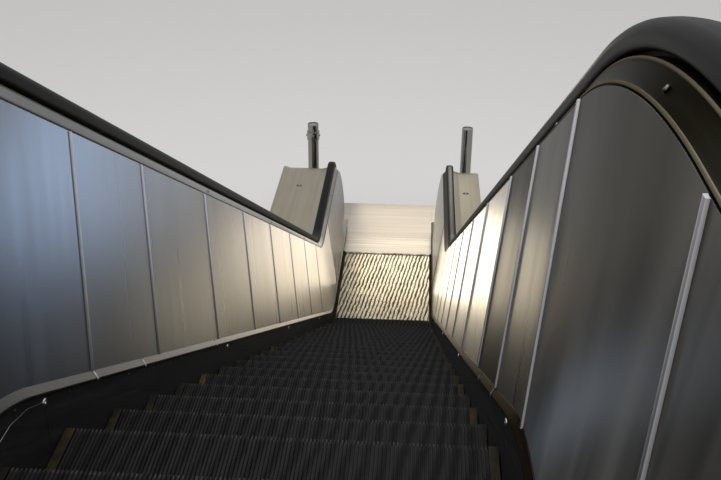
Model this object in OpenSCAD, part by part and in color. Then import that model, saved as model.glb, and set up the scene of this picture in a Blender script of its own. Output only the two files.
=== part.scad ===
// Escalator with solid stainless balustrades, in millimetres.
// X runs uphill along the length, +Y is the right side seen from the top,
// Z is up. The origin lies on the underside of the lower landing pan,
// below the lower working point, where the nosing line starts to rise.

/* [Incline] */
// Height from the lower to the upper landing
rise = 4420; // [3500:10:5500]
// Slope of the incline in degrees
slope = 30; // [27:0.5:30]
// Radius of the lower bend at the steps
low_bend_step = 1200; // [1050:50:1500]
// Radius of the lower bend at the handrail
low_bend_rail = 950; // [800:50:1200]
// Radius of the upper bend at the steps
up_bend_step = 1050; // [1000:50:1500]
// Radius of the upper bend at the handrail
up_bend_rail = 1750; // [1500:50:2000]

/* [Steps] */
// Width of a step
step_w = 1000; // [800:50:1200]
// Depth of a step, from nosing to nosing on the landing
step_pitch = 400; // [390:5:410]
// Gap between neighbouring steps
step_gap = 4; // [2:0.5:6]
// Height of a riser, with its tucked lower edge
riser_h = 205; // [200:5:215]
// Thickness of a tread below its grooves
tread_t = 12; // [8:1:16]
// Distance between the cleats of a tread
cleat_pitch = 20; // [18:1:24]
// Width of a cleat
cleat_w = 9; // [6:1:11]
// Depth of the grooves between the cleats
groove_h = 10; // [8:1:12]
// Width of the edge insert on each side of a tread
insert_w = 22; // [12:1:30]
// Distance of the first full step's nosing before the lower bend
first_nosing = 1230; // [1200:10:1300]

/* [Landings] */
// Depth of the landing pan below the steps
pit_depth = 300; // [280:10:400]
// Height of the landing plates above the treads
plate_lift = 8; // [6:1:10]
// Thickness of the landing plates
plate_t = 40; // [30:1:50]
// Distance from the bend to the tips of the comb
comb_x = 1420; // [1400:10:1500]
// Length of a comb from its tips to the comb plate
comb_len = 100; // [80:5:130]
// Distance from the bend to the seam of the comb plate
seam_x = 1900; // [1850:10:1950]
// Distance from the bend to the outer end of the landing
landing_end = 2810; // [2750:10:3000]
// Width of the frame border at the end of the landing
frame_border = 40; // [30:1:60]

/* [Balustrades] */
// Gap between a step and the skirt
skirt_gap = 4; // [3:0.5:5]
// Thickness of the skirt
skirt_t = 6; // [4:1:8]
// Height of the skirt above the nosing line
skirt_top = 107; // [90:1:120]
// Height of the panel's lower edge above the nosing line
panel_low = 132; // [125:1:140]
// Height of the panel's upper edge above the nosing line
panel_top = 834; // [780:2:860]
// Distance that the panel leans outward over its height
panel_lean = 89; // [60:1:100]
// Thickness of the panel with its backing
panel_t = 12; // [8:1:16]
// Gap between neighbouring sheets
sheet_gap = 3; // [2:0.5:5]
// Spacing of the panel joints along X
joint_pitch = 904; // [800:2:950]
// Distance from the lower bend to the joint on the lower landing
low_joint = 600; // [560:5:700]
// Distance from the lower bend to the first joint on the slope
joint_first = 976; // [700:2:1100]
// Length along X of the last whole panel before the upper bend
closing_panel = 620; // [500:5:700]
// Length along X of the panel that enters the upper bend
bend_panel = 560; // [500:5:600]
// Distance from the upper bend to the joint on the upper landing
up_joint = 694; // [650:2:750]
// Slant of that joint, as a share of one square to the slope
up_joint_slant = 0.55; // [0.4:0.05:0.7]
// Width of the cover strip on a joint
joint_strip_w = 10; // [8:1:14]
// Thickness of the cover strip on a joint
joint_strip_t = 3; // [2:0.5:4]

/* [Handrails] */
// Distance of the handrail's centre outside the skirt
rail_offset = 171; // [165:1:180]
// Width of the handrail
rail_w = 80; // [76:1:84]
// Height of the handrail's top above the nosing line
rail_top = 942; // [936:1:950]
// Height of the handrail's lips above the nosing line
rail_low = 890; // [888:1:894]
// Height of the guide's ledge above the nosing line
guide_top = 882; // [870:1:886]
// Distance from the bend to the axis of the newel
newel_x = 1856; // [1800:1:1900]
// Height of the returning handrail above the balustrade's foot
return_gap = 36; // [34:1:70]
// Distance from the bend to the neck below the newel
neck_x = 1640; // [1600:10:1700]
// Distance from the bend to the outer end of the balustrade's foot
foot_x = 2100; // [2050:10:2150]

/* [Decks and cladding] */
// Distance from the middle to the outer face of the right cladding
right_w = 1000; // [960:5:1100]
// Distance from the middle to the outer face of the left cladding
left_w = 1220; // [1150:5:1300]
// Height of the deck's flat top above the nosing line
deck_top = 858; // [852:1:866]
// Width of the sloping band beside the handrail
deck_band = 62; // [50:1:80]
// Thickness of the outer cladding
clad_t = 20; // [15:1:25]
// Vertical depth of the truss below the nosing line
truss_depth = 1150; // [1000:10:1300]
// Thickness of the soffit panels
soffit_t = 8; // [6:1:12]
// Length of a sheet of cladding, deck or soffit along X
clad_pitch = 2200; // [1800:50:2600]

/* [Guide posts] */
// Diameter of a guide post
post_d = 130; // [110:5:140]
// Height of a guide post above the landing frame
post_h = 1095; // [1000:5:1150]
// Distance of the posts from the bend
post_x = 2690; // [2680:5:2700]
// Distance of the right post from the landing's right edge
post_right = 110; // [100:5:150]
// Distance of the left post from the landing's left edge
post_left = 260; // [110:5:300]
// Diameter of a post's foot flange
post_foot_d = 190; // [170:5:200]
// Thickness of a post's foot flange
post_foot_t = 10; // [8:1:16]

/* [Bearing] */
// Reach of the upper bearing beyond the landing
bearing_reach = 150; // [120:5:180]
// Thickness of the bearing angle
bearing_t = 20; // [16:1:30]
// Height of the bearing angle
bearing_h = 180; // [150:5:220]
// Radius of the bolt holes in the bearing
bearing_hole_r = 11; // [9:0.5:14]
// Spacing of the bolt holes along X
bearing_hole_x = 70; // [60:5:80]
// Spacing of the bolt holes along Y
bearing_hole_y = 1400; // [1200:50:1800]

/* [Hidden] */

// Plan length between the two working points
run_x = rise / tan(slope);
// Height of the bed that carries the steps, above the nosing line
bed_h = -260;
// Stations in each bend and in each newel
bend_steps = 16;
newel_steps = 10;
// Set-back of the panel's foot behind the face of the skirt
panel_set = 5;
// Half width between the skirts, and the plane of the panel's lower edge
channel = step_w / 2 + skirt_gap;
panel_y = channel + panel_set;
rail_y = channel + rail_offset;
rail_half = rail_w / 2;
newel_h = (panel_low + return_gap + rail_top) / 2;
newel_r = panel_top - newel_h;
// Clearance that keeps plates off the pieces beside them
fit = 1;
// Clearance between a trim and the curved sheet that it lies on
seat = 0.3;

// The step line: a level, a bend, the slope, a bend and a level. Every
// length of the balustrade is a vertical copy of it at its own height.
// The bend's radius grows from the foot of the panel to its upper edge.
function up_the_panel(h) = min(1, max(0, (h - panel_low) / (panel_top - panel_low)));
function low_bend(h) = low_bend_step + (low_bend_rail - low_bend_step) * up_the_panel(h);
function up_bend(h) = up_bend_step + (up_bend_rail - up_bend_step) * up_the_panel(h);
function bend_z(x, r) = let (t = r * tan(slope / 2))
    x <= -t ? 0 : x >= t * cos(slope) ? x * tan(slope) : r - sqrt(r * r - pow(x + t, 2));
function line_z(x, h) =
    x < run_x / 2 ? bend_z(x, low_bend(h)) : rise - bend_z(run_x - x, up_bend(h));

low_span = low_bend_step * tan(slope / 2);
up_span = up_bend_rail * tan(slope / 2);
bend_stations = concat(
    [for (i = [0 : bend_steps]) -low_span + 2 * low_span * i / bend_steps],
    [for (i = [0 : bend_steps]) run_x - up_span + 2 * up_span * i / bend_steps]);

// A station is [x, slant], where slant tilts its plane along the length
function place(s, y, h) = let (x = s[0] - s[1] * (h - panel_low)) [x, y, line_z(x, h) + h];

function between(a, b, margin) = [for (x = bend_stations) if (x > a + margin && x < b - margin) [x, 0]];

// A closed outline in (y, height), drawn through a list of stations
module sweep(outline, stations) {
    n = len(outline);
    m = len(stations);
    polyhedron(
        points = [for (s = stations, p = outline) place(s, p[0], p[1])],
        faces = concat(
            [[for (i = [0 : n - 1]) i]],
            [[for (i = [0 : n - 1]) (m - 1) * n + n - 1 - i]],
            [for (j = [0 : m - 2], i = [0 : n - 1])
                let (a = j * n + i, b = j * n + (i + 1) % n)
                    each [[a, a + n, b + n], [a, b + n, b]]]),
        convexity = 10);
}

// A side view outline in (x, z), as a plate from y0 to y1
module side_plate(y0, y1) {
    translate([0, y1, 0]) rotate([90, 0, 0]) linear_extrude(y1 - y0) children();
}

// A section drawn in (y, height), as a straight length from a point along
// a slope, or as a turn about an axis that runs across the escalator
module straight_length(x, z, angle, length) {
    translate([x, 0, z]) rotate([0, -angle, 0]) rotate([90, 0, 90]) linear_extrude(length)
        translate([0, -panel_top]) children();
}
module turned_length(x, z, from, angle) {
    translate([x, 0, z]) rotate([90, 0, 0]) rotate([0, 0, from]) rotate_extrude(angle = angle)
        children();
}
module section_out(r) { translate([r - panel_top, 0]) rotate(-90) children(); }
module section_in(r) { translate([r + panel_top, 0]) mirror([1, 0]) rotate(-90) children(); }

// The loop above the panels runs parallel to their upper edge: a return
// and a newel, a level, a bend, the slope, and the same at the other end
low_rail_t = low_bend_rail * tan(slope / 2);
up_rail_t = up_bend_rail * tan(slope / 2);
module newel_turn(back) {
    turned_length(-newel_x, newel_h, 90, 180) section_out(newel_r) children();
    translate([-newel_x, 0, 2 * newel_h]) mirror([0, 0, 1])
        straight_length(0, panel_top, 0, back) children();
}
module loop_length(back) {
    newel_turn(back) children();
    straight_length(-newel_x, panel_top, 0, newel_x - low_rail_t) children();
    turned_length(-low_rail_t, panel_top + low_bend_rail, 270, slope) section_in(low_bend_rail) children();
    straight_length(low_rail_t * cos(slope), panel_top + low_rail_t * sin(slope), slope,
        run_x / cos(slope) - low_rail_t - up_rail_t) children();
    turned_length(run_x + up_rail_t, rise + panel_top - up_bend_rail, 90, slope)
        section_out(up_bend_rail) children();
    straight_length(run_x + up_rail_t, rise + panel_top, 0, newel_x - up_rail_t) children();
    at_upper() newel_turn(back) children();
}

// The upper landing is the lower one turned end for end
module at_upper() {
    translate([run_x, 0, rise]) mirror([1, 0, 0]) children();
}

// Side view points along the step line at one height
function line_points(a, b, h) = concat(
    [[a, line_z(a, h) + h]],
    [for (x = bend_stations) if (x > a + 1 && x < b - 1) [x, line_z(x, h) + h]],
    [[b, line_z(b, h) + h]]);
function reversed(list) = [for (i = [len(list) - 1 : -1 : 0]) list[i]];

// Points on the arc of a newel at radius r, from one angle to another.
// Angle 0 is the top, and side -1 is the lower newel, side 1 the upper.
function newel_arc(side, r, from, to) = [for (i = [0 : newel_steps])
    let (a = from + (to - from) * i / newel_steps)
        [(side < 0 ? -newel_x : run_x + newel_x) + side * r * sin(a),
         (side < 0 ? 0 : rise) + newel_h + r * cos(a)]];

// Truss, a closed housing that follows the slope
truss_in = [-(left_w - clad_t), right_w - clad_t];
end_low = -landing_end;
end_up = run_x + landing_end;
bed_margin = 30;
bed_end = first_nosing + step_pitch + bed_margin;
plate_low = plate_lift - plate_t;
low_split = low_span;
up_split = run_x - up_span;
soffit_start = (truss_depth + soffit_t - pit_depth) / tan(slope);
flat_end = (truss_depth - pit_depth) / tan(slope);

function lower_truss_outline() = concat(
    [[end_low, -pit_depth], [low_split, -pit_depth]],
    reversed(line_points(-bed_end, low_split, bed_h)),
    [[-bed_end, plate_low], [end_low, plate_low]]);
function incline_truss_outline() = concat(
    [[low_split, -pit_depth], [flat_end, -pit_depth], [up_split, up_split * tan(slope) - truss_depth]],
    reversed(line_points(low_split, up_split, bed_h)));
function upper_truss_outline() = concat(
    [[up_split, up_split * tan(slope) - truss_depth], [run_x, rise - truss_depth],
     [end_up, rise - truss_depth], [end_up, rise + plate_low], [run_x + bed_end, rise + plate_low]],
    reversed(line_points(up_split, run_x + bed_end, bed_h)));

// Everything below the bed that carries the steps
function bed_outline() = concat(
    [[-bed_end, bed_h - rise], [run_x + bed_end, bed_h - rise]],
    reversed(concat(line_points(-bed_end, low_split, bed_h), line_points(low_split, up_split, bed_h),
        line_points(up_split, run_x + bed_end, bed_h))));

module truss_lower() {
    color("dimgray") side_plate(truss_in[0], truss_in[1]) polygon(lower_truss_outline());
}
module truss_incline() {
    color("dimgray") side_plate(truss_in[0], truss_in[1]) polygon(incline_truss_outline());
}
module truss_upper() {
    color("dimgray") side_plate(truss_in[0], truss_in[1]) polygon(upper_truss_outline());
}

// Sheet joints of the soffit, the decks and the cladding
clad_joints = [for (x = [soffit_start + clad_pitch : clad_pitch : run_x - clad_pitch / 2]) x];
function soffit_z(x) = (x > run_x ? rise : x * tan(slope)) - truss_depth;

module soffit_panels() {
    edges = concat([soffit_start], clad_joints, [run_x, end_up]);
    color("silver") for (i = [0 : len(edges) - 2]) {
        a = edges[i] + (i == 0 ? 0 : sheet_gap / 2);
        b = edges[i + 1] - (i == len(edges) - 2 ? 0 : sheet_gap / 2);
        side_plate(truss_in[0], truss_in[1])
            polygon([[a, soffit_z(a) - soffit_t], [b, soffit_z(b) - soffit_t],
                     [b, soffit_z(b)], [a, soffit_z(a)]]);
    }
}

// Bearing angle on the upper end of the truss, with its bolt holes
bearing_y = (truss_in[0] + truss_in[1]) / 2;
bearing_edge = 200;
bearing_half = bearing_hole_y / 2 + bearing_edge;
bearing_z = rise + plate_low - bearing_t;
bearing_hole_mid = end_up + (bearing_t + bearing_reach) / 2;
module upper_bearing() {
    color("gray") difference() {
        side_plate(bearing_y - bearing_half, bearing_y + bearing_half)
            polygon([[end_up, bearing_z + bearing_t - bearing_h], [end_up + bearing_t, bearing_z + bearing_t - bearing_h],
                     [end_up + bearing_t, bearing_z], [end_up + bearing_reach, bearing_z],
                     [end_up + bearing_reach, bearing_z + bearing_t], [end_up, bearing_z + bearing_t]]);
        for (dx = [-0.5, 0.5], dy = [-0.5, 0.5])
            translate([bearing_hole_mid + dx * bearing_hole_x, bearing_y + dy * bearing_hole_y, bearing_z - 1])
                cylinder(r = bearing_hole_r, h = bearing_t + 2, $fn = 48);
    }
}

// Landings: a frame, a floor plate, a comb plate and a comb
plate_half = channel - fit;
module landing_frame() {
    difference() {
        translate([-landing_end, -left_w, plate_low])
            cube([landing_end - foot_x - fit, left_w + right_w, plate_t]);
        translate([-landing_end + frame_border, -channel, plate_low - 1])
            cube([landing_end, 2 * channel, plate_t + 2]);
    }
}
module floor_plate() {
    translate([-landing_end + frame_border + fit, -plate_half, plate_low])
        cube([landing_end - frame_border - fit - seam_x - fit, 2 * plate_half, plate_t]);
}
comb_root = comb_x + comb_len;
module comb_plate() {
    side_plate(-plate_half, plate_half)
        polygon([[-seam_x, plate_low], [-bed_end, plate_low], [-bed_end, 1],
                 [-comb_root, 1], [-comb_root, plate_lift], [-seam_x, plate_lift]]);
}

// Cleats of a tread, and the comb teeth that run in their grooves
insert_inner = step_w / 2 - insert_w;
edge_margin = 2;
cleat_count = floor((insert_inner - cleat_w / 2 - edge_margin) / cleat_pitch);
tooth_play = 3;
tooth_w = cleat_pitch - cleat_w - tooth_play;
comb_back = 30;
tooth_root = comb_root - comb_back;
module comb() {
    side_plate(-insert_inner, insert_inner)
        polygon([[-comb_root, 1], [-tooth_root, 1], [-tooth_root, plate_lift], [-comb_root, plate_lift]]);
    for (i = [-cleat_count - 1 : cleat_count]) {
        y = (i + 0.5) * cleat_pitch;
        side_plate(y - tooth_w / 2, y + tooth_w / 2)
            polygon([[-tooth_root - 2, tooth_play - groove_h], [-comb_x, tooth_play - groove_h],
                     [-comb_x, 2 * tooth_play - groove_h], [-tooth_root, plate_lift], [-tooth_root - 2, plate_lift]]);
    }
}
module landing_frame_lower() { color("lightgray") landing_frame(); }
module floor_plate_lower() { color("lightgray") floor_plate(); }
module comb_plate_lower() { color("gainsboro") comb_plate(); }
module comb_lower() { color("darkkhaki") comb(); }
module landing_frame_upper() { color("lightgray") at_upper() landing_frame(); }
module floor_plate_upper() { color("lightgray") at_upper() floor_plate(); }
module comb_plate_upper() { color("gainsboro") at_upper() comb_plate(); }
module comb_upper() { color("darkkhaki") at_upper() comb(); }

// Steps, placed along the step line by their distance on it
low_t = low_bend_step * tan(slope / 2);
up_t = up_bend_step * tan(slope / 2);
low_arc = low_bend_step * slope * PI / 180;
up_arc = up_bend_step * slope * PI / 180;
straight = run_x / cos(slope) - low_t - up_t;
function nosing(s) =
    s < 0 ? [s - low_t, 0]
    : s < low_arc ? let (a = s / low_bend_step * 180 / PI)
        [low_bend_step * sin(a) - low_t, low_bend_step * (1 - cos(a))]
    : s < low_arc + straight ? let (d = low_t + s - low_arc)
        [d * cos(slope), d * sin(slope)]
    : s < low_arc + straight + up_arc ? let (a = slope - (s - low_arc - straight) / up_bend_step * 180 / PI)
        [run_x + up_t - up_bend_step * sin(a), rise - up_bend_step * (1 - cos(a))]
    : [run_x + up_t + s - low_arc - straight - up_arc, rise];

first_s = low_t - first_nosing - step_pitch;
last_s = low_arc + straight + up_arc + comb_x - up_t;
nosings = [for (s = [first_s : step_pitch : last_s]) nosing(s)];
function on_lower(p) = p[1] < 1 && p[0] < 0;
function on_upper(p) = p[0] > run_x - up_t;
function tread_len(p) = min(step_pitch - step_gap, run_x + bed_end - fit - p[0]);

module tread(length) {
    half = step_w / 2;
    rotate([90, 0, 90]) linear_extrude(length)
        polygon(concat(
            [[-half, -groove_h - tread_t], [half, -groove_h - tread_t], [half, -groove_h]],
            [for (i = [cleat_count : -1 : -cleat_count])
                for (p = [[0.5, -groove_h], [0.5, 0], [-0.5, 0], [-0.5, -groove_h]])
                    [i * cleat_pitch + p[0] * cleat_w, p[1]]],
            [[-half, -groove_h]]));
}
module treads(list) {
    for (p = list) translate([p[0], 0, p[1]]) tread(tread_len(p));
}
module step_treads_lower() {
    color("dimgray") treads([for (p = nosings) if (on_lower(p)) p]);
}
module step_treads_incline() {
    color("dimgray") treads([for (p = nosings) if (!on_lower(p) && !on_upper(p)) p]);
}
module step_treads_upper() {
    color("dimgray") treads([for (p = nosings) if (on_upper(p)) p]);
}

// Side view of a step below its tread: the riser is an arc about the
// tread's own rear edge, so that it clears the tread before it
function riser_points() = [for (i = [0 : 6])
    let (a = asin((groove_h + tread_t) / step_pitch),
         b = asin(riser_h / step_pitch),
         t = a + (b - a) * i / 6)
        [step_pitch * (1 - cos(t)), -step_pitch * sin(t)]];
module step_bodies() {
    foot_front = step_pitch * (1 - cos(asin(riser_h / step_pitch)));
    color("dimgray") side_plate(-step_w / 2, step_w / 2)
        for (p = nosings) difference() {
            translate(p) polygon(concat(riser_points(),
                [[foot_front, bed_h - step_pitch / 2], [tread_len(p), bed_h],
                 [tread_len(p), -groove_h - tread_t]]));
            polygon(bed_outline());
        }
}
module step_edge_inserts() {
    color("goldenrod") for (p = nosings, side = [-1, 1])
        translate([p[0], side < 0 ? -step_w / 2 : insert_inner, p[1] - groove_h])
            cube([tread_len(p), insert_w, groove_h]);
}

// Balustrade, written for the right side; the left side is its mirror
module left() { mirror([0, 1, 0]) children(); }

function foot_outline(low, top) = concat(
    [[-foot_x, plate_low], [-bed_end, plate_low]],
    line_points(-bed_end, run_x + bed_end, low),
    [[run_x + bed_end, rise + plate_low], [run_x + foot_x, rise + plate_low]],
    reversed(line_points(-foot_x, run_x + foot_x, top)));

module skirt() { side_plate(channel, channel + skirt_t) polygon(foot_outline(bed_h + 20, skirt_top)); }
module skirt_left() { color("dimgray") left() skirt(); }
module skirt_right() { color("dimgray") skirt(); }

module skirt_moulding() {
    sweep([[channel, skirt_top], [channel + skirt_t, skirt_top], [channel + skirt_t, panel_low],
           [channel, panel_low], [channel - 3, panel_low - 4], [channel - 3, skirt_top + 3]],
        concat([[-foot_x, 0]], between(-foot_x, run_x + foot_x, 1), [[run_x + foot_x, 0]]));
}
module skirt_moulding_left() { color("silver") left() skirt_moulding(); }
module skirt_moulding_right() { color("silver") skirt_moulding(); }

module balustrade_base(w) {
    side_plate(channel + skirt_t, w - clad_t) polygon(foot_outline(bed_h, panel_low));
}
module balustrade_base_left() { color("silver") left() balustrade_base(left_w); }
module balustrade_base_right() { color("silver") balustrade_base(right_w); }

// Inner panels: sheets between joints square to the slope. A station's slant
// of perp stands its joint square to the slope, and one of 0 stands it upright.
perp = sin(slope) * cos(slope);
incline_joints = [for (i = [0 : 6]) joint_first + i * joint_pitch];
last_joint = incline_joints[len(incline_joints) - 1];
upper_joints = [last_joint + closing_panel, last_joint + closing_panel + bend_panel];
landing_joint = -low_joint;
upper_landing_joint = [run_x + up_joint, perp * up_joint_slant];
panel_joints = concat(
    [[landing_joint, 0]],
    [for (x = incline_joints) [x, perp]],
    [for (x = upper_joints) [x, perp]],
    [upper_landing_joint]);
panel_top_y = panel_y + panel_lean;
panel_outline = [[panel_y, panel_low], [panel_y + panel_t, panel_low],
                 [panel_top_y + panel_t, panel_top], [panel_top_y, panel_top]];
function blend(a, b, n) = [for (i = [0 : n]) a + (b - a) * i / n];
function shifted(s, d) = [s[0] + d, s[1]];

// A sheet in side view, leaning outward with its height above base_z
lean_angle = atan(panel_lean / (panel_top - panel_low));
module leaning_plate(x0, x1, base_z) {
    intersection() {
        side_plate(channel, panel_top_y + 2 * panel_t) children();
        translate([x0 - 1, panel_y, base_z + panel_low]) rotate([-lean_angle, 0, 0])
            translate([0, 0, -panel_top]) cube([x1 - x0 + 2, panel_t * cos(lean_angle), 2 * panel_top]);
    }
}
module inner_panels() {
    for (i = [0 : len(panel_joints) - 2]) {
        a = shifted(panel_joints[i], sheet_gap / 2);
        b = shifted(panel_joints[i + 1], -sheet_gap / 2);
        bends = a[0] < low_span || b[0] > run_x - up_span;
        sweep(panel_outline, blend(a, b, bends ? bend_steps : 1));
    }
    leaning_plate(-newel_x - newel_r, landing_joint, 0) polygon(concat(
        [[landing_joint - sheet_gap / 2, panel_low], [landing_joint - sheet_gap / 2, panel_top]],
        newel_arc(-1, newel_r, 0, 180),
        [[-neck_x, newel_h - newel_r], [-neck_x, panel_low]]));
    start = upper_landing_joint[0] + sheet_gap / 2;
    leaning_plate(run_x, run_x + newel_x + newel_r, rise) polygon(concat(
        [[start, rise + panel_low],
         [start - upper_landing_joint[1] * (panel_top - panel_low), rise + panel_top]],
        newel_arc(1, newel_r, 0, 180),
        [[run_x + neck_x, rise + newel_h - newel_r], [run_x + neck_x, rise + panel_low]]));
}
module inner_panels_left() { color("slategray") left() inner_panels(); }
module inner_panels_right() { color("slategray") inner_panels(); }

module joint_strips() {
    back = panel_y - seat;
    front = back - joint_strip_t;
    for (j = panel_joints)
        sweep([[front, panel_low], [back, panel_low],
               [back + panel_lean, panel_top], [front + panel_lean, panel_top]],
            [shifted(j, -joint_strip_w / 2), shifted(j, joint_strip_w / 2)]);
}
module joint_strips_left() { color("white") left() joint_strips(); }
module joint_strips_right() { color("white") joint_strips(); }

// Cores that close the newels behind the panels
core_depth = 240;
core_start = neck_x - core_depth;
module newel_core(w) {
    difference() {
        side_plate(channel, w - clad_t)
            polygon(concat(
                [[-core_start, panel_low], [-core_start, panel_top]],
                newel_arc(-1, newel_r, 0, 180),
                [[-neck_x, newel_h - newel_r], [-neck_x, panel_low]]));
        translate([-newel_x - newel_r - fit, panel_y + panel_t, panel_low])
            rotate([-lean_angle, 0, 0])
                translate([0, -panel_y, -panel_top])
                    cube([newel_x + newel_r, panel_y, 3 * panel_top]);
    }
}
module newel_cores(w) {
    newel_core(w);
    at_upper() newel_core(w);
}
module newel_cores_left() { color("silver") left() newel_cores(left_w); }
module newel_cores_right() { color("silver") newel_cores(right_w); }

// Handrail guide with a head that the handrail rides on
inlet_len = 60;
rail_return = newel_x - neck_x - inlet_len;
neck_half = 15;
head_half = 25;
head_top = 918;
head_t = 10;
guide_foot = panel_top + seat;
module guide_section() {
    polygon([[panel_top_y, guide_foot], [rail_y + rail_half, guide_foot], [rail_y + rail_half, guide_top],
             [rail_y - rail_half, guide_top]]);
    translate([rail_y - neck_half, guide_foot]) square([2 * neck_half, head_top - guide_foot]);
    translate([rail_y - head_half, head_top - head_t]) square([2 * head_half, head_t]);
}
module handrail_guide() { loop_length(rail_return) guide_section(); }
module handrail_guide_left() { color("silver") left() handrail_guide(); }
module handrail_guide_right() { color("silver") handrail_guide(); }

// Handrail: a C section round the head, rounded at its corners
rail_round = 20;
lip_round = 8;
rail_play = 2;
lip_play = 3;
module handrail_section() {
    difference() {
        translate([rail_y, 0]) union() {
            for (side = [-1, 1]) {
                translate([side * (rail_half - rail_round), rail_top - rail_round]) circle(r = rail_round, $fn = 48);
                translate([side * (rail_half - lip_round), rail_low + lip_round]) circle(r = lip_round, $fn = 48);
            }
            translate([rail_round - rail_half, rail_low]) square([rail_w - 2 * rail_round, rail_top - rail_low]);
            translate([lip_round - rail_half, rail_low]) square([rail_w - 2 * lip_round, lip_round]);
            translate([-rail_half, rail_low + lip_round])
                square([rail_w, rail_top - rail_low - lip_round - rail_round]);
        }
        translate([rail_y - head_half - rail_play, head_top - head_t - lip_play])
            square([2 * (head_half + rail_play), head_t + lip_play]);
        translate([rail_y - neck_half - lip_play, rail_low - 1])
            square([2 * (neck_half + lip_play), head_top - rail_low]);
    }
}
module handrail() { loop_length(rail_return) handrail_section(); }
module handrail_left() { color([0.05, 0.05, 0.05]) left() handrail(); }
module handrail_right() { color([0.05, 0.05, 0.05]) handrail(); }

// Inlets where the handrail runs back into the neck of the newel
inlet_margin = 20;
inlet_rim = 2;
module handrail_inlet() {
    far = newel_x - rail_return;
    wide = rail_half + inlet_margin;
    narrow = rail_half + inlet_rim;
    translate([0, 0, panel_low]) linear_extrude(newel_h - newel_r - panel_low)
        polygon([[-far, rail_y - narrow], [-neck_x, rail_y - wide],
                 [-neck_x, rail_y + wide], [-far, rail_y + narrow]]);
}
module handrail_inlets() {
    handrail_inlet();
    at_upper() handrail_inlet();
}
module handrail_inlets_left() { color([0.1, 0.1, 0.1]) left() handrail_inlets(); }
module handrail_inlets_right() { color([0.1, 0.1, 0.1]) handrail_inlets(); }

// Decks: covers between the handrail and the cladding, rolled over the newels
deck_in = rail_y + rail_half;
deck_lip = 19;
deck_foot = panel_top + seat;
function deck_outline(w, outer_band) = concat(
    [[deck_in, deck_foot], [w, deck_foot]],
    outer_band ? [[w, deck_top + deck_lip], [w - deck_band, deck_top]] : [[w, deck_top]],
    [[deck_in + deck_band, deck_top], [deck_in, deck_top + deck_lip]]);
module deck_covers(w, outer_band) {
    difference() {
        loop_length(rail_return) polygon(deck_outline(w, outer_band));
        for (x = clad_joints)
            translate([x - sheet_gap / 2, 0, 0]) cube([sheet_gap, w + 1, rise * 2]);
    }
}
module deck_covers_left() { color("silver") left() deck_covers(left_w, true); }
module deck_covers_right() { color("silver") deck_covers(right_w, false); }

// Outer cladding, in sheets
end_joint = 100;
module outer_cladding(w) {
    side_plate(w - clad_t, w) difference() {
        polygon(concat(
            [[end_low, -pit_depth], [soffit_start, -pit_depth],
             [run_x, rise - truss_depth - soffit_t], [end_up, rise - truss_depth - soffit_t],
             [end_up, rise + plate_low], [run_x + foot_x, rise + plate_low],
             [run_x + foot_x, rise + panel_low], [run_x + neck_x, rise + panel_low],
             [run_x + neck_x, rise + newel_h - newel_r]],
            newel_arc(1, newel_r, 180, 0),
            reversed(line_points(-newel_x + 1, run_x + newel_x - 1, panel_top)),
            newel_arc(-1, newel_r, 0, 180),
            [[-neck_x, newel_h - newel_r], [-neck_x, panel_low], [-foot_x, panel_low],
             [-foot_x, plate_low], [end_low, plate_low]]));
        for (x = concat([-end_joint], clad_joints, [run_x + end_joint]))
            translate([x - sheet_gap / 2, -pit_depth - 1]) square([sheet_gap, rise * 2]);
    }
}
module outer_cladding_left() { color("gray") left() outer_cladding(left_w); }
module outer_cladding_right() { color("gray") outer_cladding(right_w); }

// Guide posts at the end of the lower landing, the left one with a collar
collar_t = 10;
collar_h = 70;
collar_z = post_h - 150;
module guide_post(y) {
    translate([-post_x, y, plate_lift]) {
        cylinder(d = post_foot_d, h = post_foot_t, $fn = 64);
        cylinder(d = post_d, h = post_h, $fn = 64);
        children();
    }
}
module guide_post_left() {
    color("silver") guide_post(post_left - left_w)
        translate([0, 0, collar_z]) cylinder(d = post_d + 2 * collar_t, h = collar_h, $fn = 64);
}
module guide_post_right() { color("silver") guide_post(right_w - post_right); }

module placed() { translate([0, 0, pit_depth]) children(); }

// Drawing
placed() truss_lower();
placed() truss_incline();
placed() truss_upper();
placed() soffit_panels();
placed() upper_bearing();
placed() landing_frame_lower();
placed() floor_plate_lower();
placed() comb_plate_lower();
placed() comb_lower();
placed() landing_frame_upper();
placed() floor_plate_upper();
placed() comb_plate_upper();
placed() comb_upper();
placed() step_bodies();
placed() step_treads_lower();
placed() step_treads_incline();
placed() step_treads_upper();
placed() step_edge_inserts();
placed() skirt_left();
placed() skirt_right();
placed() skirt_moulding_left();
placed() skirt_moulding_right();
placed() balustrade_base_left();
placed() balustrade_base_right();
placed() inner_panels_left();
placed() inner_panels_right();
placed() joint_strips_left();
placed() joint_strips_right();
placed() newel_cores_left();
placed() newel_cores_right();
placed() handrail_guide_left();
placed() handrail_guide_right();
placed() handrail_left();
placed() handrail_right();
placed() handrail_inlets_left();
placed() handrail_inlets_right();
placed() deck_covers_left();
placed() deck_covers_right();
placed() outer_cladding_left();
placed() outer_cladding_right();
placed() guide_post_left();
placed() guide_post_right();
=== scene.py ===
import math

import bmesh
import bpy
from mathutils import Matrix, Vector


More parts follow.
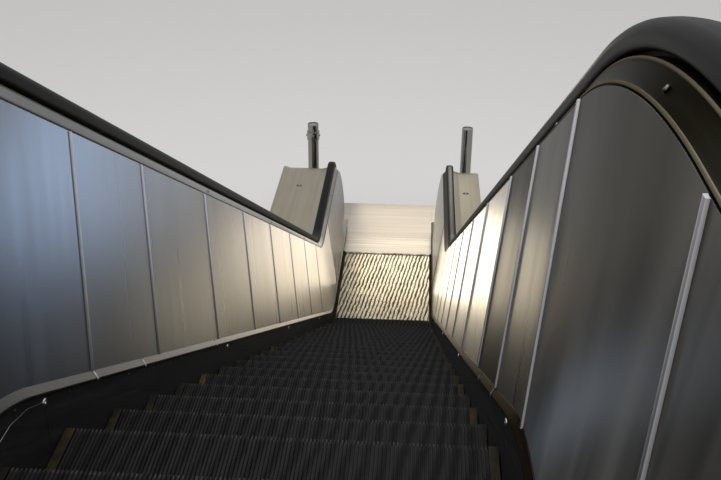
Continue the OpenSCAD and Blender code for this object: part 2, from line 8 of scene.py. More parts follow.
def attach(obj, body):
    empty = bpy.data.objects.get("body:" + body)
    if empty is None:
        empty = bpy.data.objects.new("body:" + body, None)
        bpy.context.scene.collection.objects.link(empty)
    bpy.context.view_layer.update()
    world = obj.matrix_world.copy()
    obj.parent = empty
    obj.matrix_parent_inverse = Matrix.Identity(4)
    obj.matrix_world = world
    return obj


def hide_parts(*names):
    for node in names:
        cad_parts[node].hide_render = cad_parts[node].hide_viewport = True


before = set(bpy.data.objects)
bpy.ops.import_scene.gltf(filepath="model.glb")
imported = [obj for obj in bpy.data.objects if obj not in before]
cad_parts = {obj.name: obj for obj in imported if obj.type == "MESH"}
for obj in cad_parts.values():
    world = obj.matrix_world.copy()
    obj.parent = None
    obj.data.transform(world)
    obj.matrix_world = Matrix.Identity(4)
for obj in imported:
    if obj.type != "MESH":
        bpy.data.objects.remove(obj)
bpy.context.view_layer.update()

# The row's sizes, in metres
SLOPE = math.radians(30)
RISE = 4.420
RUN = RISE / math.tan(SLOPE)
# Height of the nosing line on the lower landing
LIFT = 0.300
# Radii of the lower and the upper bend, at the steps and at the handrail
BEND_STEP = (1.200, 1.050)
BEND_RAIL = (0.950, 1.750)
# Walls, handrails and decks: heights above the nosing line, distances from the middle
PANEL_LOW, PANEL_TOP, PANEL_LEAN, PANEL_T = 0.132, 0.834, 0.089, 0.012
LEAN = PANEL_LEAN / (PANEL_TOP - PANEL_LOW)
CHANNEL, PANEL_Y, SKIRT_T, SKIRT_TOP = 0.504, 0.509, 0.006, 0.107
RAIL_Y, RAIL_HALF, RAIL_TOP, RAIL_LOW, GUIDE_TOP = 0.675, 0.040, 0.942, 0.890, 0.882
HEAD_LOW, HEAD_TOP, HEAD_HALF, STEM_HALF = 0.908, 0.918, 0.025, 0.015
DECK_TOP, DECK_LIP, DECK_BAND = 0.858, 0.019, 0.062
DECK_OUT = {1: 1.000, -1: 1.220}
# Newels and landings: distances from the bend, towards the end of the landing
NEWEL_X, NEWEL_H, NECK_X, FOOT_X = 1.856, 0.555, 1.640, 2.100
NEWEL_R = PANEL_TOP - NEWEL_H
RAIL_RETURN = NEWEL_X - NECK_X - 0.060
COMB_X, COMB_LEN, SEAM_X, PLATE_LIFT, LANDING_END = 1.420, 0.100, 1.900, 0.008, 2.810
# Steps
STEP_W, STEP_PITCH, STEP_GAP, GROOVE, TREAD_T, INSERT_W = 1.000, 0.400, 0.004, 0.010, 0.012, 0.022
RISER_H, FIRST_NOSING = 0.205, 1.230
# Joints in the walls, and in the decks and the cladding
LOW_JOINT, JOINT_FIRST, JOINT_PITCH, UP_JOINT = 0.600, 0.976, 0.904, 0.694
CLOSING_PANEL, BEND_PANEL, UP_JOINT_SLANT = 0.620, 0.560, 0.55
TRUSS_DEPTH, SOFFIT_T, CLAD_PITCH = 1.150, 0.008, 2.200
SOFFIT_START = (TRUSS_DEPTH - LIFT + SOFFIT_T) / math.tan(SLOPE)
CLAD_JOINTS = [SOFFIT_START + CLAD_PITCH, SOFFIT_START + 2 * CLAD_PITCH]
SHEET_GAP = 0.003
# Play between parts that seat on each other, and between the handrail and its guide
SEAT, PLAY = 0.0003, 0.001
# Y is positive on the right side, seen from the top.
SIDES = {1: "right", -1: "left"}
ALONG, ACROSS, UP = (1, 0, 0), (0, 1, 0), (0, 0, 1)


def landing(at_upper):
    """Height of a landing's nosing line."""
    return LIFT + (RISE if at_upper else 0.0)


def turned_round(x, at_upper):
    """A place on the lower landing, or its like on the upper one."""
    return RUN - x if at_upper else x


def bend_rise(x, radius):
    """Rise of the slope and of the bend before it, at x from their meeting point."""
    reach = radius * math.tan(SLOPE / 2)
    if x <= -reach:
        return 0.0
    if x >= reach * math.cos(SLOPE):
        return x * math.tan(SLOPE)
    return radius - math.sqrt(radius * radius - (x + reach) ** 2)


def line_z(x, h):
    """Height of the step line's copy at height h, in the row frame."""
    up = min(1.0, max(0.0, (h - PANEL_LOW) / (PANEL_TOP - PANEL_LOW)))
    low, high = (s + (r - s) * up for s, r in zip(BEND_STEP, BEND_RAIL))
    rise = bend_rise(x, low) if x < RUN / 2 else RISE - bend_rise(RUN - x, high)
    return LIFT + h + rise


def panel_y(h):
    """Distance of the leaning wall's face from the middle."""
    return PANEL_Y + (h - PANEL_LOW) * LEAN


def grain_at(x, h):
    """Grain coordinates on a wall: across the sheets' brushing, then along it."""
    slope = math.atan((line_z(x + 0.01, h) - line_z(x - 0.01, h)) / 0.02)
    run = min(x, 0.0) + min(max(x, 0.0), RUN) / math.cos(SLOPE) + max(x - RUN, 0.0)
    return (h * math.cos(slope), run + h * math.sin(slope))


def spread(a, b, n):
    """n + 1 even places from a to b."""
    return [a + (b - a) * i / n for i in range(n + 1)]


def bend_places(a, b):
    """Stations along the step line from a to b, close together in the bends."""
    low, high = BEND_STEP[0] * math.tan(SLOPE / 2), BEND_RAIL[1] * math.tan(SLOPE / 2)
    marks = spread(-low, low, 24) + spread(RUN - high, RUN + high, 32) + spread(low, RUN - high, 12)
    marks += spread(-FOOT_X, -low, 5) + spread(RUN + high, RUN + FOOT_X, 5)
    nearest = 0.004
    return [a] + sorted(set(round(x, 5) for x in marks if a + nearest < x < b - nearest)) + [b]


def loop_path():
    """Places on the panels' upper edge, with the outward direction at each, round both newels."""
    path, turns, bends = [], 40, 26
    low, high = BEND_RAIL
    t, u = (r * math.tan(SLOPE / 2) for r in BEND_RAIL)
    base, foot, top = LIFT + PANEL_TOP, LIFT + NEWEL_H, LIFT + RISE + NEWEL_H

    def arc(x, z, r, angles, way=-1):
        """Adds places round the centre (x, z)."""
        for a in angles:
            nx, nz = way * math.sin(a), math.cos(a)
            path.append((x + r * nx, z + r * nz, nx, nz))

    def straight(places, z, slope=0.0):
        """Adds places on a line that is at height z where X is 0."""
        for x in places:
            path.append((x, z + x * math.tan(slope), -math.sin(slope), math.cos(slope)))

    path.append((-NEWEL_X + RAIL_RETURN, foot - NEWEL_R, 0.0, -1.0))
    arc(-NEWEL_X, foot, NEWEL_R, spread(math.pi, 0, turns))
    straight(spread(-NEWEL_X, -t, 4)[1:], base)
    arc(-t, base + low, -low, spread(0, SLOPE, bends)[1:])
    straight(spread(t * math.cos(SLOPE), RUN - u * math.cos(SLOPE), 16)[1:], base, SLOPE)
    arc(RUN + u, base + RISE - high, high, spread(SLOPE, 0, bends)[1:])
    straight(spread(RUN + u, RUN + NEWEL_X, 4)[1:], base + RISE)
    arc(RUN + NEWEL_X, top, NEWEL_R, spread(0, math.pi, turns)[1:], 1)
    path.append((RUN + NEWEL_X - RAIL_RETURN, top - NEWEL_R, 0.0, -1.0))
    return path


def nosings():
    """The nosing of every step, from the lower comb to the upper one."""
    low, high = (r * math.tan(SLOPE / 2) for r in BEND_STEP)
    low_arc, high_arc = (r * SLOPE for r in BEND_STEP)
    straight = RUN / math.cos(SLOPE) - low - high
    s, places = low - FIRST_NOSING - STEP_PITCH, []
    while s <= low_arc + straight + high_arc + COMB_X - high + 1e-6:
        d = s - low_arc
        if s < 0:
            x = s - low
        elif d < 0:
            x = BEND_STEP[0] * math.sin(s / BEND_STEP[0]) - low
        elif d < straight:
            x = (low + d) * math.cos(SLOPE)
        elif d < straight + high_arc:
            x = RUN + high - BEND_STEP[1] * math.sin(SLOPE - (d - straight) / BEND_STEP[1])
        else:
            x = RUN + high + d - straight - high_arc
        places.append((x, line_z(x, 0.0) - LIFT))
        s += STEP_PITCH
    return places


# Meshes
class Shape:
    """Points, faces, grain coordinates and tones of one piece, gathered as it is built. The name
    of a piece that belongs to one side, and of what it replaces, ends with that side."""

    def __init__(self, side=0):
        self.points, self.faces, self.grain, self.tones = [], [], [], []
        self.ending = f"_{SIDES[side]}" if side else ""

    def add(self, co, grain):
        """Adds a point and returns its number."""
        self.points.append(tuple(co))
        self.grain.append(grain)
        return len(self.points) - 1

    def face(self, ids, tone=0):
        """Adds a face from the numbers of its points."""
        self.faces.append(tuple(ids))
        self.tones.append(tone)

    def rows(self, rows, tones=None):
        """Joins rings of (point, grain) pairs into a closed skin; tones gives each strip's finish."""
        ids = [[self.add(co, g) for co, g in row] for row in rows]
        n = len(ids[0])
        for a, b in zip(ids, ids[1:]):
            for i in range(n):
                k = (i + 1) % n
                self.face((a[i], b[i], b[k], a[k]), tones[i] if tones else 0)
        self.face(ids[0])
        self.face(ids[-1][::-1])

    def piece(self, name, finishes, slot, replaces=(), sharp=32):
        """Makes the mesh and its object, parents it to the root body, and hides the parts that it replaces.
        """
        name, replaces = name + self.ending, [node + self.ending for node in replaces]
        mesh = bpy.data.meshes.new(name)
        mesh.from_pydata(self.points, [], self.faces)
        mesh.polygons.foreach_set("material_index", self.tones)
        body = bmesh.new()
        body.from_mesh(mesh)
        bmesh.ops.recalc_face_normals(body, faces=body.faces)
        body.to_mesh(mesh)
        body.free()
        layer = mesh.uv_layers.new(name="grain")
        for loop in mesh.loops:
            layer.data[loop.index].uv = self.grain[loop.vertex_index]
        for finish in finishes:
            mesh.materials.append(finish)
        mesh.update()
        mesh.shade_smooth()
        mesh.set_sharp_from_angle(angle=math.radians(sharp))
        obj = bpy.data.objects.new(name, mesh)
        bpy.context.scene.collection.objects.link(obj)
        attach(obj, "root")
        if replaces:
            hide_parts(*replaces)


def rounded(corners, n):
    """A closed outline from (y, h, radius) corners, each rounded with n chords."""
    out, m = [], len(corners)
    for i, (y, h, r) in enumerate(corners):
        p = Vector((y, h))
        if r == 0:
            out.append((y, h))
            continue
        a = (Vector(corners[i - 1][:2]) - p).normalized()
        b = (Vector(corners[(i + 1) % m][:2]) - p).normalized()
        half = a.angle(b) / 2
        reach = r / math.tan(half)
        start, end = p + a * reach, p + b * reach
        centre = p + (a + b).normalized() * (r / math.sin(half))
        for k in range(n + 1):
            v = start.lerp(end, k / n) - centre
            q = centre + v.normalized() * r
            out.append((q.x, q.y))
    return out


def loop_shape(shape, section, side, path=None, tones=None):
    """Draws a (y, h) section round the newels, on the line of the panels' upper edge."""
    rows, s, last = [], 0.0, None
    for x, z, nx, nz in path or loop_path():
        if last:
            s += math.hypot(x - last[0], z - last[1])
        last = (x, z)
        row, girth = [], 0.0
        for i, (y, h) in enumerate(section):
            if i:
                girth += math.hypot(y - section[i - 1][0], h - section[i - 1][1])
            d = h - PANEL_TOP
            row.append(((x + nx * d, side * y, z + nz * d), (girth, s)))
        rows.append(row)
    shape.rows(rows, tones=tones)


def line_shape(shape, section, side, a, b):
    """Draws a (y, h) section along the step line from a to b."""
    rows = []
    for x in bend_places(a, b):
        rows.append([((x, side * y, line_z(x, h)), (h, x / math.cos(SLOPE))) for y, h in section])
    shape.rows(rows)


def turned(shape, profile, centre, axis_x, axis_y, axis_z, n, tone=0):
    """Turns a (radius, height) profile round axis_z."""
    c, ax, ay, az = Vector(centre), Vector(axis_x), Vector(axis_y), Vector(axis_z)
    rows = []
    for r, h in profile:
        ring = []
        for k in range(n):
            a = 2 * math.pi * k / n
            ring.append((c + ax * (r * math.cos(a)) + ay * (r * math.sin(a)) + az * h, (h, a * r)))
        rows.append(ring)
    shape.rows(rows, tones=[tone] * n)


# Screws: radius and height of the head, and its number of sides
SKIRT_SCREW, SEAM_SCREW, GUIDE_SCREW = (0.0048, 0.0016, 14), (0.009, 0.0035, 20), (0.0062, 0.0036, 18)
POST_SCREW, LANDING_SCREW, CLADDING_SCREW = (0.007, 0.0045, 18), (0.0065, 0.0012, 16), (0.0075, 0.003, 16)
# Radius that closes a turned crown
CROWN_TIP = 0.00002


def screw(shape, centre, out, along, size, tone=0):
    """A low button screw with a cross recess drawn as a dip in its crown."""
    r, height, n = size
    out, along = Vector(out).normalized(), Vector(along).normalized()
    across = out.cross(along)
    profile = [(r, -0.0005), (r, height * 0.35), (r * 0.86, height * 0.8), (r * 0.6, height)]
    profile += [(r * 0.3, height * 0.96), (r * 0.24, height * 0.55), (CROWN_TIP, height * 0.5)]
    turned(shape, profile, centre, along, across, out, n, tone)


# Finishes
def linear(code):
    """Turns an sRGB hex colour to linear, as the shader wants it."""
    out = []
    for i in (0, 2, 4):
        c = int(code[i:i + 2], 16) / 255
        out.append(c / 12.92 if c <= 0.04045 else ((c + 0.055) / 1.055) ** 2.4)
    return (*out, 1.0)


def add(tree, kind, settings=None, stops=(), **links):
    """Adds a node with its settings and ramp stops, and links its inputs by name, or as i0, i1 by number."""
    node = tree.nodes.new("ShaderNode" + kind)
    for key, value in (settings or {}).items():
        if hasattr(node, key):
            setattr(node, key, value)
        else:
            node.inputs[key if not key.isdigit() else int(key)].default_value = value
    for key, source in links.items():
        name = key.replace("_", " ")
        socket = node.inputs[int(key[1:])] if key[0] == "i" and key[1:].isdigit() else node.inputs[name]
        tree.links.new(source, socket)
    for k, (place, tone) in enumerate(stops):
        stop = node.color_ramp.elements[k] if k < 2 else node.color_ramp.elements.new(place)
        stop.position, stop.color = place, linear(tone)
    return node


def finish_named(name, tone, **shader):
    """A material with one shader, whose uniform values sit on its own sockets."""
    material = bpy.data.materials.new(name)
    material.use_nodes = True
    tree = material.node_tree
    tree.nodes.clear()
    surface = add(tree, "BsdfPrincipled", {"Base Color": linear(tone)})
    for key, value in shader.items():
        surface.inputs[key.replace("_", " ")].default_value = value
    end = add(tree, "OutputMaterial")
    tree.links.new(surface.outputs[0], end.inputs[0])
    return material, tree, surface


def worn_by(tree, surface, pattern, stops=(), gloss=(), relief=()):
    """Lets a pattern vary the colour between stops, the roughness between two values, and the
    surface by a bump of a strength and a depth in metres."""
    if stops:
        tint = add(tree, "ValToRGB", stops=stops, i0=pattern)
        tree.links.new(tint.outputs[0], surface.inputs["Base Color"])
    if gloss:
        rough = add(tree, "MapRange", {"3": gloss[0], "4": gloss[1]}, i0=pattern)
        tree.links.new(rough.outputs[0], surface.inputs["Roughness"])
    if relief:
        bump = add(tree, "Bump", {"Strength": relief[0], "Distance": relief[1]}, Height=pattern)
        tree.links.new(bump.outputs[0], surface.inputs["Normal"])


def slope_space(tree, scale):
    """Object coordinates turned so that X runs along the slope, then stretched."""
    place = add(tree, "TexCoord").outputs["Object"]
    sloped = add(tree, "Mapping", {"Rotation": (0.0, SLOPE, 0.0)}, Vector=place)
    return add(tree, "Mapping", {"Scale": scale}, Vector=sloped.outputs[0]).outputs[0]


def grain_space(tree, scale):
    """The piece's own grain coordinates, across then along, in metres."""
    uv = add(tree, "UVMap", {"uv_map": "grain"}).outputs[0]
    return add(tree, "Mapping", {"Scale": (scale[0], scale[1], 1.0)}, Vector=uv).outputs[0]


# Grit scratches are 0.1 mm apart, too fine to show, so they are drawn 3 mm apart and 400 mm long,
# which is this many to the metre, across the grain and along it.
SCRATCHES = (330.0, 2.5)
# Belt streaks on rolled trim are 36 mm wide, and a wall sheet is a little out of flat in tall
# strips 70 mm wide.
STREAKS, WAVES = (28.0, 0.7), (0.7, 14.0)
# Between these two X, in metres, the tone changes to that of the head: painted shade, and on the left painted
# cool light, along the length.
PAINTED_TONE_FROM, PAINTED_TONE_TO = 4.0, 7.2


def brushed_steel(name, tone, dark, rough, anisotropy, own_grain=True, sway=STREAKS, cloud=0.25,
                  head="ffffff", fade=(0.80, 0.18), faded="ffffff", edge="ffffff", across=False):
    """Austenitic stainless sheet with a belt-brushed grain along its length. The grain pulls
    highlights out across it into tall soft bands. Its tone turns to the head's towards the head, and
    to another tone over a band of a wall sheet's height: painted light and shade. A film of dust takes
    its edge-on shine, and on the right wall's shaded copies a lower edge tone is painted shade."""
    material, tree, surface = finish_named(
        name, tone, Metallic=1.0, Roughness=rough, Anisotropic=anisotropy, Specular_Tint=linear(edge))
    spaces = []
    for wide, long in (SCRATCHES, sway):
        if own_grain:
            spaces.append(grain_space(tree, (wide, long)))
        else:
            spaces.append(slope_space(tree, (wide, long, wide) if across else (long, wide, wide)))
    scratches = add(tree, "TexNoise", {"Scale": 1.0, "Detail": 4.0, "Roughness": 0.6}, Vector=spaces[0])
    bands = add(tree, "TexNoise", {"Scale": 1.0, "Detail": 2.0, "Roughness": 0.5}, Vector=spaces[1])
    place = add(tree, "TexCoord").outputs["Object"]
    # Hand marks lie in clouds about 400 mm across.
    hands = add(tree, "TexNoise", {"Scale": 2.6, "Detail": 5.0, "Roughness": 0.6}, Vector=place)
    weigh = {"operation": "MULTIPLY_ADD", "1": 0.25}
    mixed = add(tree, "Math", weigh, i0=scratches.outputs[0], i2=bands.outputs[0])
    mixed = add(tree, "Math", {**weigh, "1": cloud}, i0=hands.outputs[0], i2=mixed.outputs[0])
    middle = 0.625 + cloud * 0.5
    tint = add(tree, "ValToRGB", stops=[(middle - 0.2, dark), (middle + 0.2, tone)], i0=mixed.outputs[0])
    smooth = {"interpolation_type": "SMOOTHSTEP"}
    multiply = {"data_type": "RGBA", "blend_type": "MULTIPLY"}
    along = add(tree, "SeparateXYZ", i0=place).outputs[0]
    # Painted shade and painted cool light: between these X the tone turns to the head's.
    far = add(tree, "MapRange", {**smooth, "1": PAINTED_TONE_FROM, "2": PAINTED_TONE_TO}, i0=along)
    grain_and_painted_shade = add(tree, "Mix", {**multiply, "7": linear(head)}, i0=far.outputs[0], i6=tint.outputs[0])
    if own_grain:
        uv = add(tree, "UVMap", {"uv_map": "grain"}).outputs[0]
        height = add(tree, "SeparateXYZ", i0=uv).outputs[0]
        # Painted shade over a band of a wall sheet's height: the tone blends to the band's between the two
        # heights.
        low = add(tree, "MapRange", {**smooth, "1": fade[0], "2": fade[1]}, i0=height)
        grain_and_painted_shade = add(tree, "Mix", {**multiply, "7": linear(faded)}, i0=low.outputs[0], i6=grain_and_painted_shade.outputs[2])
    tree.links.new(grain_and_painted_shade.outputs[2], surface.inputs["Base Color"])
    film, patches = (0.03, bands) if own_grain else (0.16 * cloud, hands)
    hazy = {"1": 0.3, "2": 0.7, "3": rough - film, "4": rough + film}
    haze = add(tree, "MapRange", hazy, i0=patches.outputs[0])
    tree.links.new(haze.outputs[0], surface.inputs["Roughness"])
    worn_by(tree, surface, bands.outputs[0], relief=(0.12, 0.001))
    if own_grain:
        way = add(tree, "Tangent", {"direction_type": "UV_MAP", "uv_map": "grain"})
    else:
        grain = add(tree, "CombineXYZ", {"X": math.cos(SLOPE), "Y": 0.0, "Z": math.sin(SLOPE)})
        normal = add(tree, "NewGeometry").outputs["Normal"]
        way = add(tree, "VectorMath", {"operation": "CROSS_PRODUCT"}, i0=normal, i1=grain.outputs[0])
    tree.links.new(way.outputs[0], surface.inputs["Tangent"])
    return material


def wall_steel(name, tone, dark, rough, **touch):
    """The walls' sheets: a long grain, a little out of flat, with painted shade and light along their length
    and over a band of their height.
    """
    return brushed_steel(name, tone, dark, rough, 0.9, sway=WAVES, **touch)


# The right wall's sheets are darker over the upper part of their height, as painted shade that blends in
# between these heights.
RIGHT_SHADE_BAND = (0.30, 0.72)
# Copies of one steel for the walls, which differ only in painted light and shade: the left one turns cool
# blue at the head and darker at the foot, the right ones are darker over their upper part, and two right
# copies are darker again, sheet by sheet, with a lower edge tone.
panel_left = wall_steel("brushed_stainless_left_wall", "b0aeaa", "a2a09c", 0.3,
                        head="ccd2da", faded="b4b4b4", edge="dadada")
panel_right = wall_steel("brushed_stainless_right_wall", "b0aeaa", "a2a09c", 0.3, fade=RIGHT_SHADE_BAND, faded="dcdad8")
panel_right_light_shade = wall_steel("light_shade_stainless_right_wall", "aaa8a4", "9c9a96", 0.3,
                                 fade=RIGHT_SHADE_BAND, faded="c8c6c4", edge="9e9e9e")
panel_right_deep_shade = wall_steel("deep_shade_stainless_right_wall", "a09e9a", "92908c", 0.33,
                              fade=RIGHT_SHADE_BAND, faded="c8c6c4", edge="585858")
# Deck covers, wiped by hands: softer than the walls, and warmer, which is a painted warm reflection
deck_steel = brushed_steel("brushed_stainless_deck", "a19984", "928b7a", 0.38, 0.5)
# Guides under the handrails: satin, with little of the walls' shine. Their dark tone is painted shade of the
# handrails, darker on the right; towards the head the left one turns bluish, painted cool light, and the
# right one darker, painted shade.
guide_left = brushed_steel("satin_stainless_left_guide", "86847f", "7a7874", 0.36, 0.6, head="c4ccd8")
guide_right = brushed_steel("satin_stainless_right_guide", "726f69", "65625d", 0.38, 0.6,
                            head="8a8a84", edge="a0a0a0")
# Mouldings over the skirts: a pale line on the left, scuffed browner on the right, both darker towards the
# head as painted shade
moulding_left = brushed_steel("satin_anodised_left_moulding", "a09c93", "88847c", 0.4, 0.3, head="888c92")
moulding_right = brushed_steel("scuffed_right_moulding", "8a8278", "6e675e", 0.42, 0.3,
                               head="847e76", edge="8c8880")
# Landing and comb plates: a fine grain from side to side, in soft pale bands
plate_steel = brushed_steel("linished_landing_plate", "a39e95", "96928a", 0.36, 0.5,
                            own_grain=False, cloud=0.06, across=True)
comb_plate_steel = brushed_steel("worn_comb_plate", "b4afa6", "989389", 0.32, 0.5,
                                 own_grain=False, cloud=0.06, across=True)
# Outer cladding: a cool grey grain along the slope
cladding_steel = brushed_steel("linished_cladding_sheet", "9a9d9e", "8d9092", 0.38, 0.45, own_grain=False)


def patchy_finish(name, tone, noise, stops=(), gloss=(), relief=(), **shader):
    """A material worn in patches. noise gives how many there are to the metre, how many finer
    layers they have and how strong each of those is."""
    material, tree, surface = finish_named(name, tone, **shader)
    place = add(tree, "TexCoord").outputs["Object"]
    settings = dict(zip(("Scale", "Detail", "Roughness"), noise))
    patches = add(tree, "TexNoise", settings, Vector=place)
    worn_by(tree, surface, patches.outputs[0], stops, gloss, relief)
    return material


def trim_metal(name, tone, rough, edge="ffffff"):
    """Drawn metal trim, satin from wiping in patches 40 mm across: a soft line beside the sheets."""
    return patchy_finish(name, tone, (24.0, 4.0, 0.6), gloss=(rough - 0.08, rough + 0.08),
                         Metallic=1.0, Roughness=rough, Specular_Tint=linear(edge))


def joint_finish():
    """Extruded aluminium cover strip: satin at the top, where it reads as a pale line, and
    rubbed as smooth as the sheets by shoes towards its foot, where its colour darkens as painted shade, so
    that it fades."""
    material, tree, surface = finish_named(
        "wiped_joint_bead", "b6b6b8", Metallic=1.0, Roughness=0.45, Specular_Tint=linear("e2e2e4"))
    uv = add(tree, "UVMap", {"uv_map": "grain"}).outputs[0]
    height = add(tree, "SeparateXYZ", i0=uv).outputs[0]
    rubbed = add(tree, "MapRange", {"1": 0.16, "2": 0.62, "3": 0.34, "4": 0.5}, i0=height)
    tree.links.new(rubbed.outputs[0], surface.inputs["Roughness"])
    # Darker towards the foot: painted shade.
    worn_by(tree, surface, height, [(0.14, "8e8e90"), (0.66, "c6c6c8")])
    return material


def skirt_finish():
    """Steel skirt sheet with a baked low-friction black coat: dull, slightly greasy, with
    long scuffs 11 mm high where shoes and steps have rubbed it."""
    material, tree, surface = finish_named(
        "black_low_friction_skirt", "161617", Roughness=0.42, IOR=1.5, Specular_IOR_Level=0.2)
    space = slope_space(tree, (3.0, 90.0, 90.0))
    scuffs = add(tree, "TexNoise", {"Scale": 1.0, "Detail": 6.0, "Roughness": 0.7}, Vector=space)
    worn_by(tree, surface, scuffs.outputs[0], [(0.42, "101011"), (0.62, "1c1c1c"), (0.78, "3a3836")],
            gloss=(0.5, 0.7))
    return material


# Strokes this far apart cross the cleats and start anew on each tread: faint wear from soles on the slope,
# and a painted pattern of glints on the lower landing.
STROKE = 0.040


def cleat_finish(name, tone, worn, metal, rough, specular):
    """Die-cast aluminium step cleats. The grooves keep their black coat and dirt, and soles
    rub the crowns in slanting strokes. The lower landing's copy is pale metal in those strokes, a painted
    reflection of the light there."""
    material, tree, surface = finish_named(
        name, tone, Metallic=metal, Roughness=rough, IOR=1.5, Specular_IOR_Level=specular)
    place = add(tree, "TexCoord").outputs["Object"]
    uv = add(tree, "UVMap", {"uv_map": "grain"}).outputs[0]
    slanting = add(tree, "Mapping", {"Rotation": (0.0, 0.0, math.radians(-9))}, Vector=uv)
    wave = {"bands_direction": "X", "Scale": 2 * math.pi / (20 * STROKE), "Distortion": 2.6}
    strokes = add(tree, "TexWave", {**wave, "Detail": 3.0, "Detail Scale": 1.4}, Vector=slanting.outputs[0])
    # Patches 140 mm across: grime on the slope, and patches of painted glint on the lower landing.
    grime_and_glint = add(tree, "TexNoise", {"Scale": 7.0, "Detail": 4.0, "Roughness": 0.55}, Vector=place)
    weigh = {"operation": "MULTIPLY_ADD", "1": 1.3}
    rub = add(tree, "Math", weigh, i0=grime_and_glint.outputs[0], i2=strokes.outputs["Fac"])
    half = add(tree, "Math", {"operation": "MULTIPLY", "1": 0.5}, i0=rub.outputs[0])
    # The second stop is the worn tone; on the lower landing's copies it is a painted glint.
    worn_by(tree, surface, half.outputs[0], [(0.36, tone), (0.72, worn)])
    worn_by(tree, surface, strokes.outputs["Fac"], gloss=(rough + 0.08, rough - 0.08))
    return material


def rubber_finish():
    """Black moulded handrail rubber with a wiped satin sheen and faint lengthwise wear in
    streaks 17 mm wide. Its fine grain is drawn coarser, 1 mm apart."""
    material, tree, surface = finish_named(
        "black_handrail_rubber", "0d0d0e", Roughness=0.45, IOR=1.52, Specular_IOR_Level=0.05)
    along = grain_space(tree, (60.0, 3.0))
    rub = add(tree, "TexNoise", {"Scale": 1.0, "Detail": 5.0, "Roughness": 0.6}, Vector=along)
    worn_by(tree, surface, rub.outputs[0], [(0.4, "070708"), (0.75, "121213")], gloss=(0.4, 0.52))
    place = add(tree, "TexCoord").outputs["Object"]
    grit = add(tree, "TexNoise", {"Scale": 900.0, "Detail": 2.0}, Vector=place)
    worn_by(tree, surface, grit.outputs[0], relief=(0.08, 0.0003))
    return material


def truss_finish():
    """Welded steel housing in grey two-pack paint: even orange peel of 4 mm and a little dust."""
    material, tree, surface = finish_named("grey_painted_steel", "6c7073", Roughness=0.5, IOR=1.5)
    place = add(tree, "TexCoord").outputs["Object"]
    peel = add(tree, "TexNoise", {"Scale": 240.0, "Detail": 2.0}, Vector=place)
    dust = add(tree, "TexNoise", {"Scale": 3.0, "Detail": 6.0, "Roughness": 0.6}, Vector=place)
    worn_by(tree, surface, dust.outputs[0], [(0.35, "63676a"), (0.7, "7b7e80")])
    worn_by(tree, surface, peel.outputs[0], relief=(0.2, 0.0006))
    return material


def galvanised_finish():
    """Hot-dip galvanised steel: zinc spangle in flat grey patches 15 to 30 mm across."""
    material, tree, surface = finish_named("hot_dip_galvanised_steel", "9a9fa3", Metallic=1.0, Roughness=0.5)
    place = add(tree, "TexCoord").outputs["Object"]
    spangle = add(tree, "TexVoronoi", {"Scale": 42.0}, Vector=place)
    worn_by(tree, surface, spangle.outputs["Color"], [(0.2, "84898d"), (0.8, "b3b7ba")])
    return material


bright_bead = trim_metal("satin_aluminium_bead", "e6e6e8", 0.4)
lip_metal = trim_metal("rubbed_deck_lip", "f2ecda", 0.3)
rim_metal = trim_metal("wiped_stainless_rim", "787264", 0.45, edge="8e8878")
# Steel screws with a black oxide skin, worn a little bright in patches 17 mm across
screw_black = patchy_finish("black_oxide_screw", "3c3c3e", (60.0, 3.0, 0.6),
                            [(0.4, "29292b"), (0.7, "6a6a6c")], Metallic=1.0, Roughness=0.42)
# Moulded nylon edge insert in traffic yellow, drawn as a dark ochre that darkens in patches 110 mm across
insert_ochre = patchy_finish("ochre_nylon_insert", "7a5a12", (9.0, 7.0, 0.68),
                             [(0.42, "100e0a"), (0.6, "2c220c"), (0.8, "624812")],
                             Roughness=0.55, IOR=1.53, Specular_IOR_Level=0.1)
# Injection-moulded black ABS, matt with soft edges: its spark-eroded grain is drawn coarser, 1.4 mm apart
abs_black = patchy_finish("grained_black_abs", "1b1b1c", (700.0, 3.0), relief=(0.25, 0.0004),
                          Roughness=0.55, IOR=1.53)
# Drawn stainless tube, polished: dark and light reflections stand upright in it, and hands leave
# a haze in patches 140 mm across
post_steel = patchy_finish("polished_stainless_post", "8e8c88", (7.0, 5.0, 0.6), gloss=(0.1, 0.26),
                           Metallic=1.0, Roughness=0.16, Anisotropic=0.35)
# Die-cast aluminium comb, dark with dirt and rubbed bare in patches 70 mm across
comb_metal = patchy_finish("worn_cast_aluminium_comb", "8d8a80", (14.0, 6.0, 0.6),
                           [(0.35, "4b4942"), (0.65, "a7a398")], Metallic=0.9, Roughness=0.38)
joint_bead = joint_finish()
skirt_black = skirt_finish()
rubber = rubber_finish()
truss_paint = truss_finish()
galvanised = galvanised_finish()
# On the slope the black coat stays, greyed by dust in the grooves, with the tread edges lighter from soles
# and a painted highlight. These are the dark copies of the cleat finish; the lower landing's copies below
# differ from them by painted light.
groove_black = cleat_finish("coated_step_groove", "121213", "1a1a1b", 0.0, 0.6, 0.08)
groove_incline = cleat_finish("dusty_step_groove", "242425", "323232", 0.0, 0.65, 0.08)
crown_incline = cleat_finish("rubbed_cleat_crown", "131314", "1c1c1d", 0.0, 0.6, 0.05)
nosing_incline = cleat_finish("scuffed_tread_edge_painted_highlight", "1e1e1e", "30302f", 0.0, 0.6, 0.06)
# The lower landing's lit copies: bright strokes over dark grooves, a painted reflection of the light beyond
# the landing
groove_landing = cleat_finish("landing_cleat_groove_painted_glint", "14120e", "857c60", 1.0, 0.36, 0.5)
crown_landing = cleat_finish("landing_cleat_crown_painted_glint", "24211a", "e2dac2", 1.0, 0.28, 0.5)

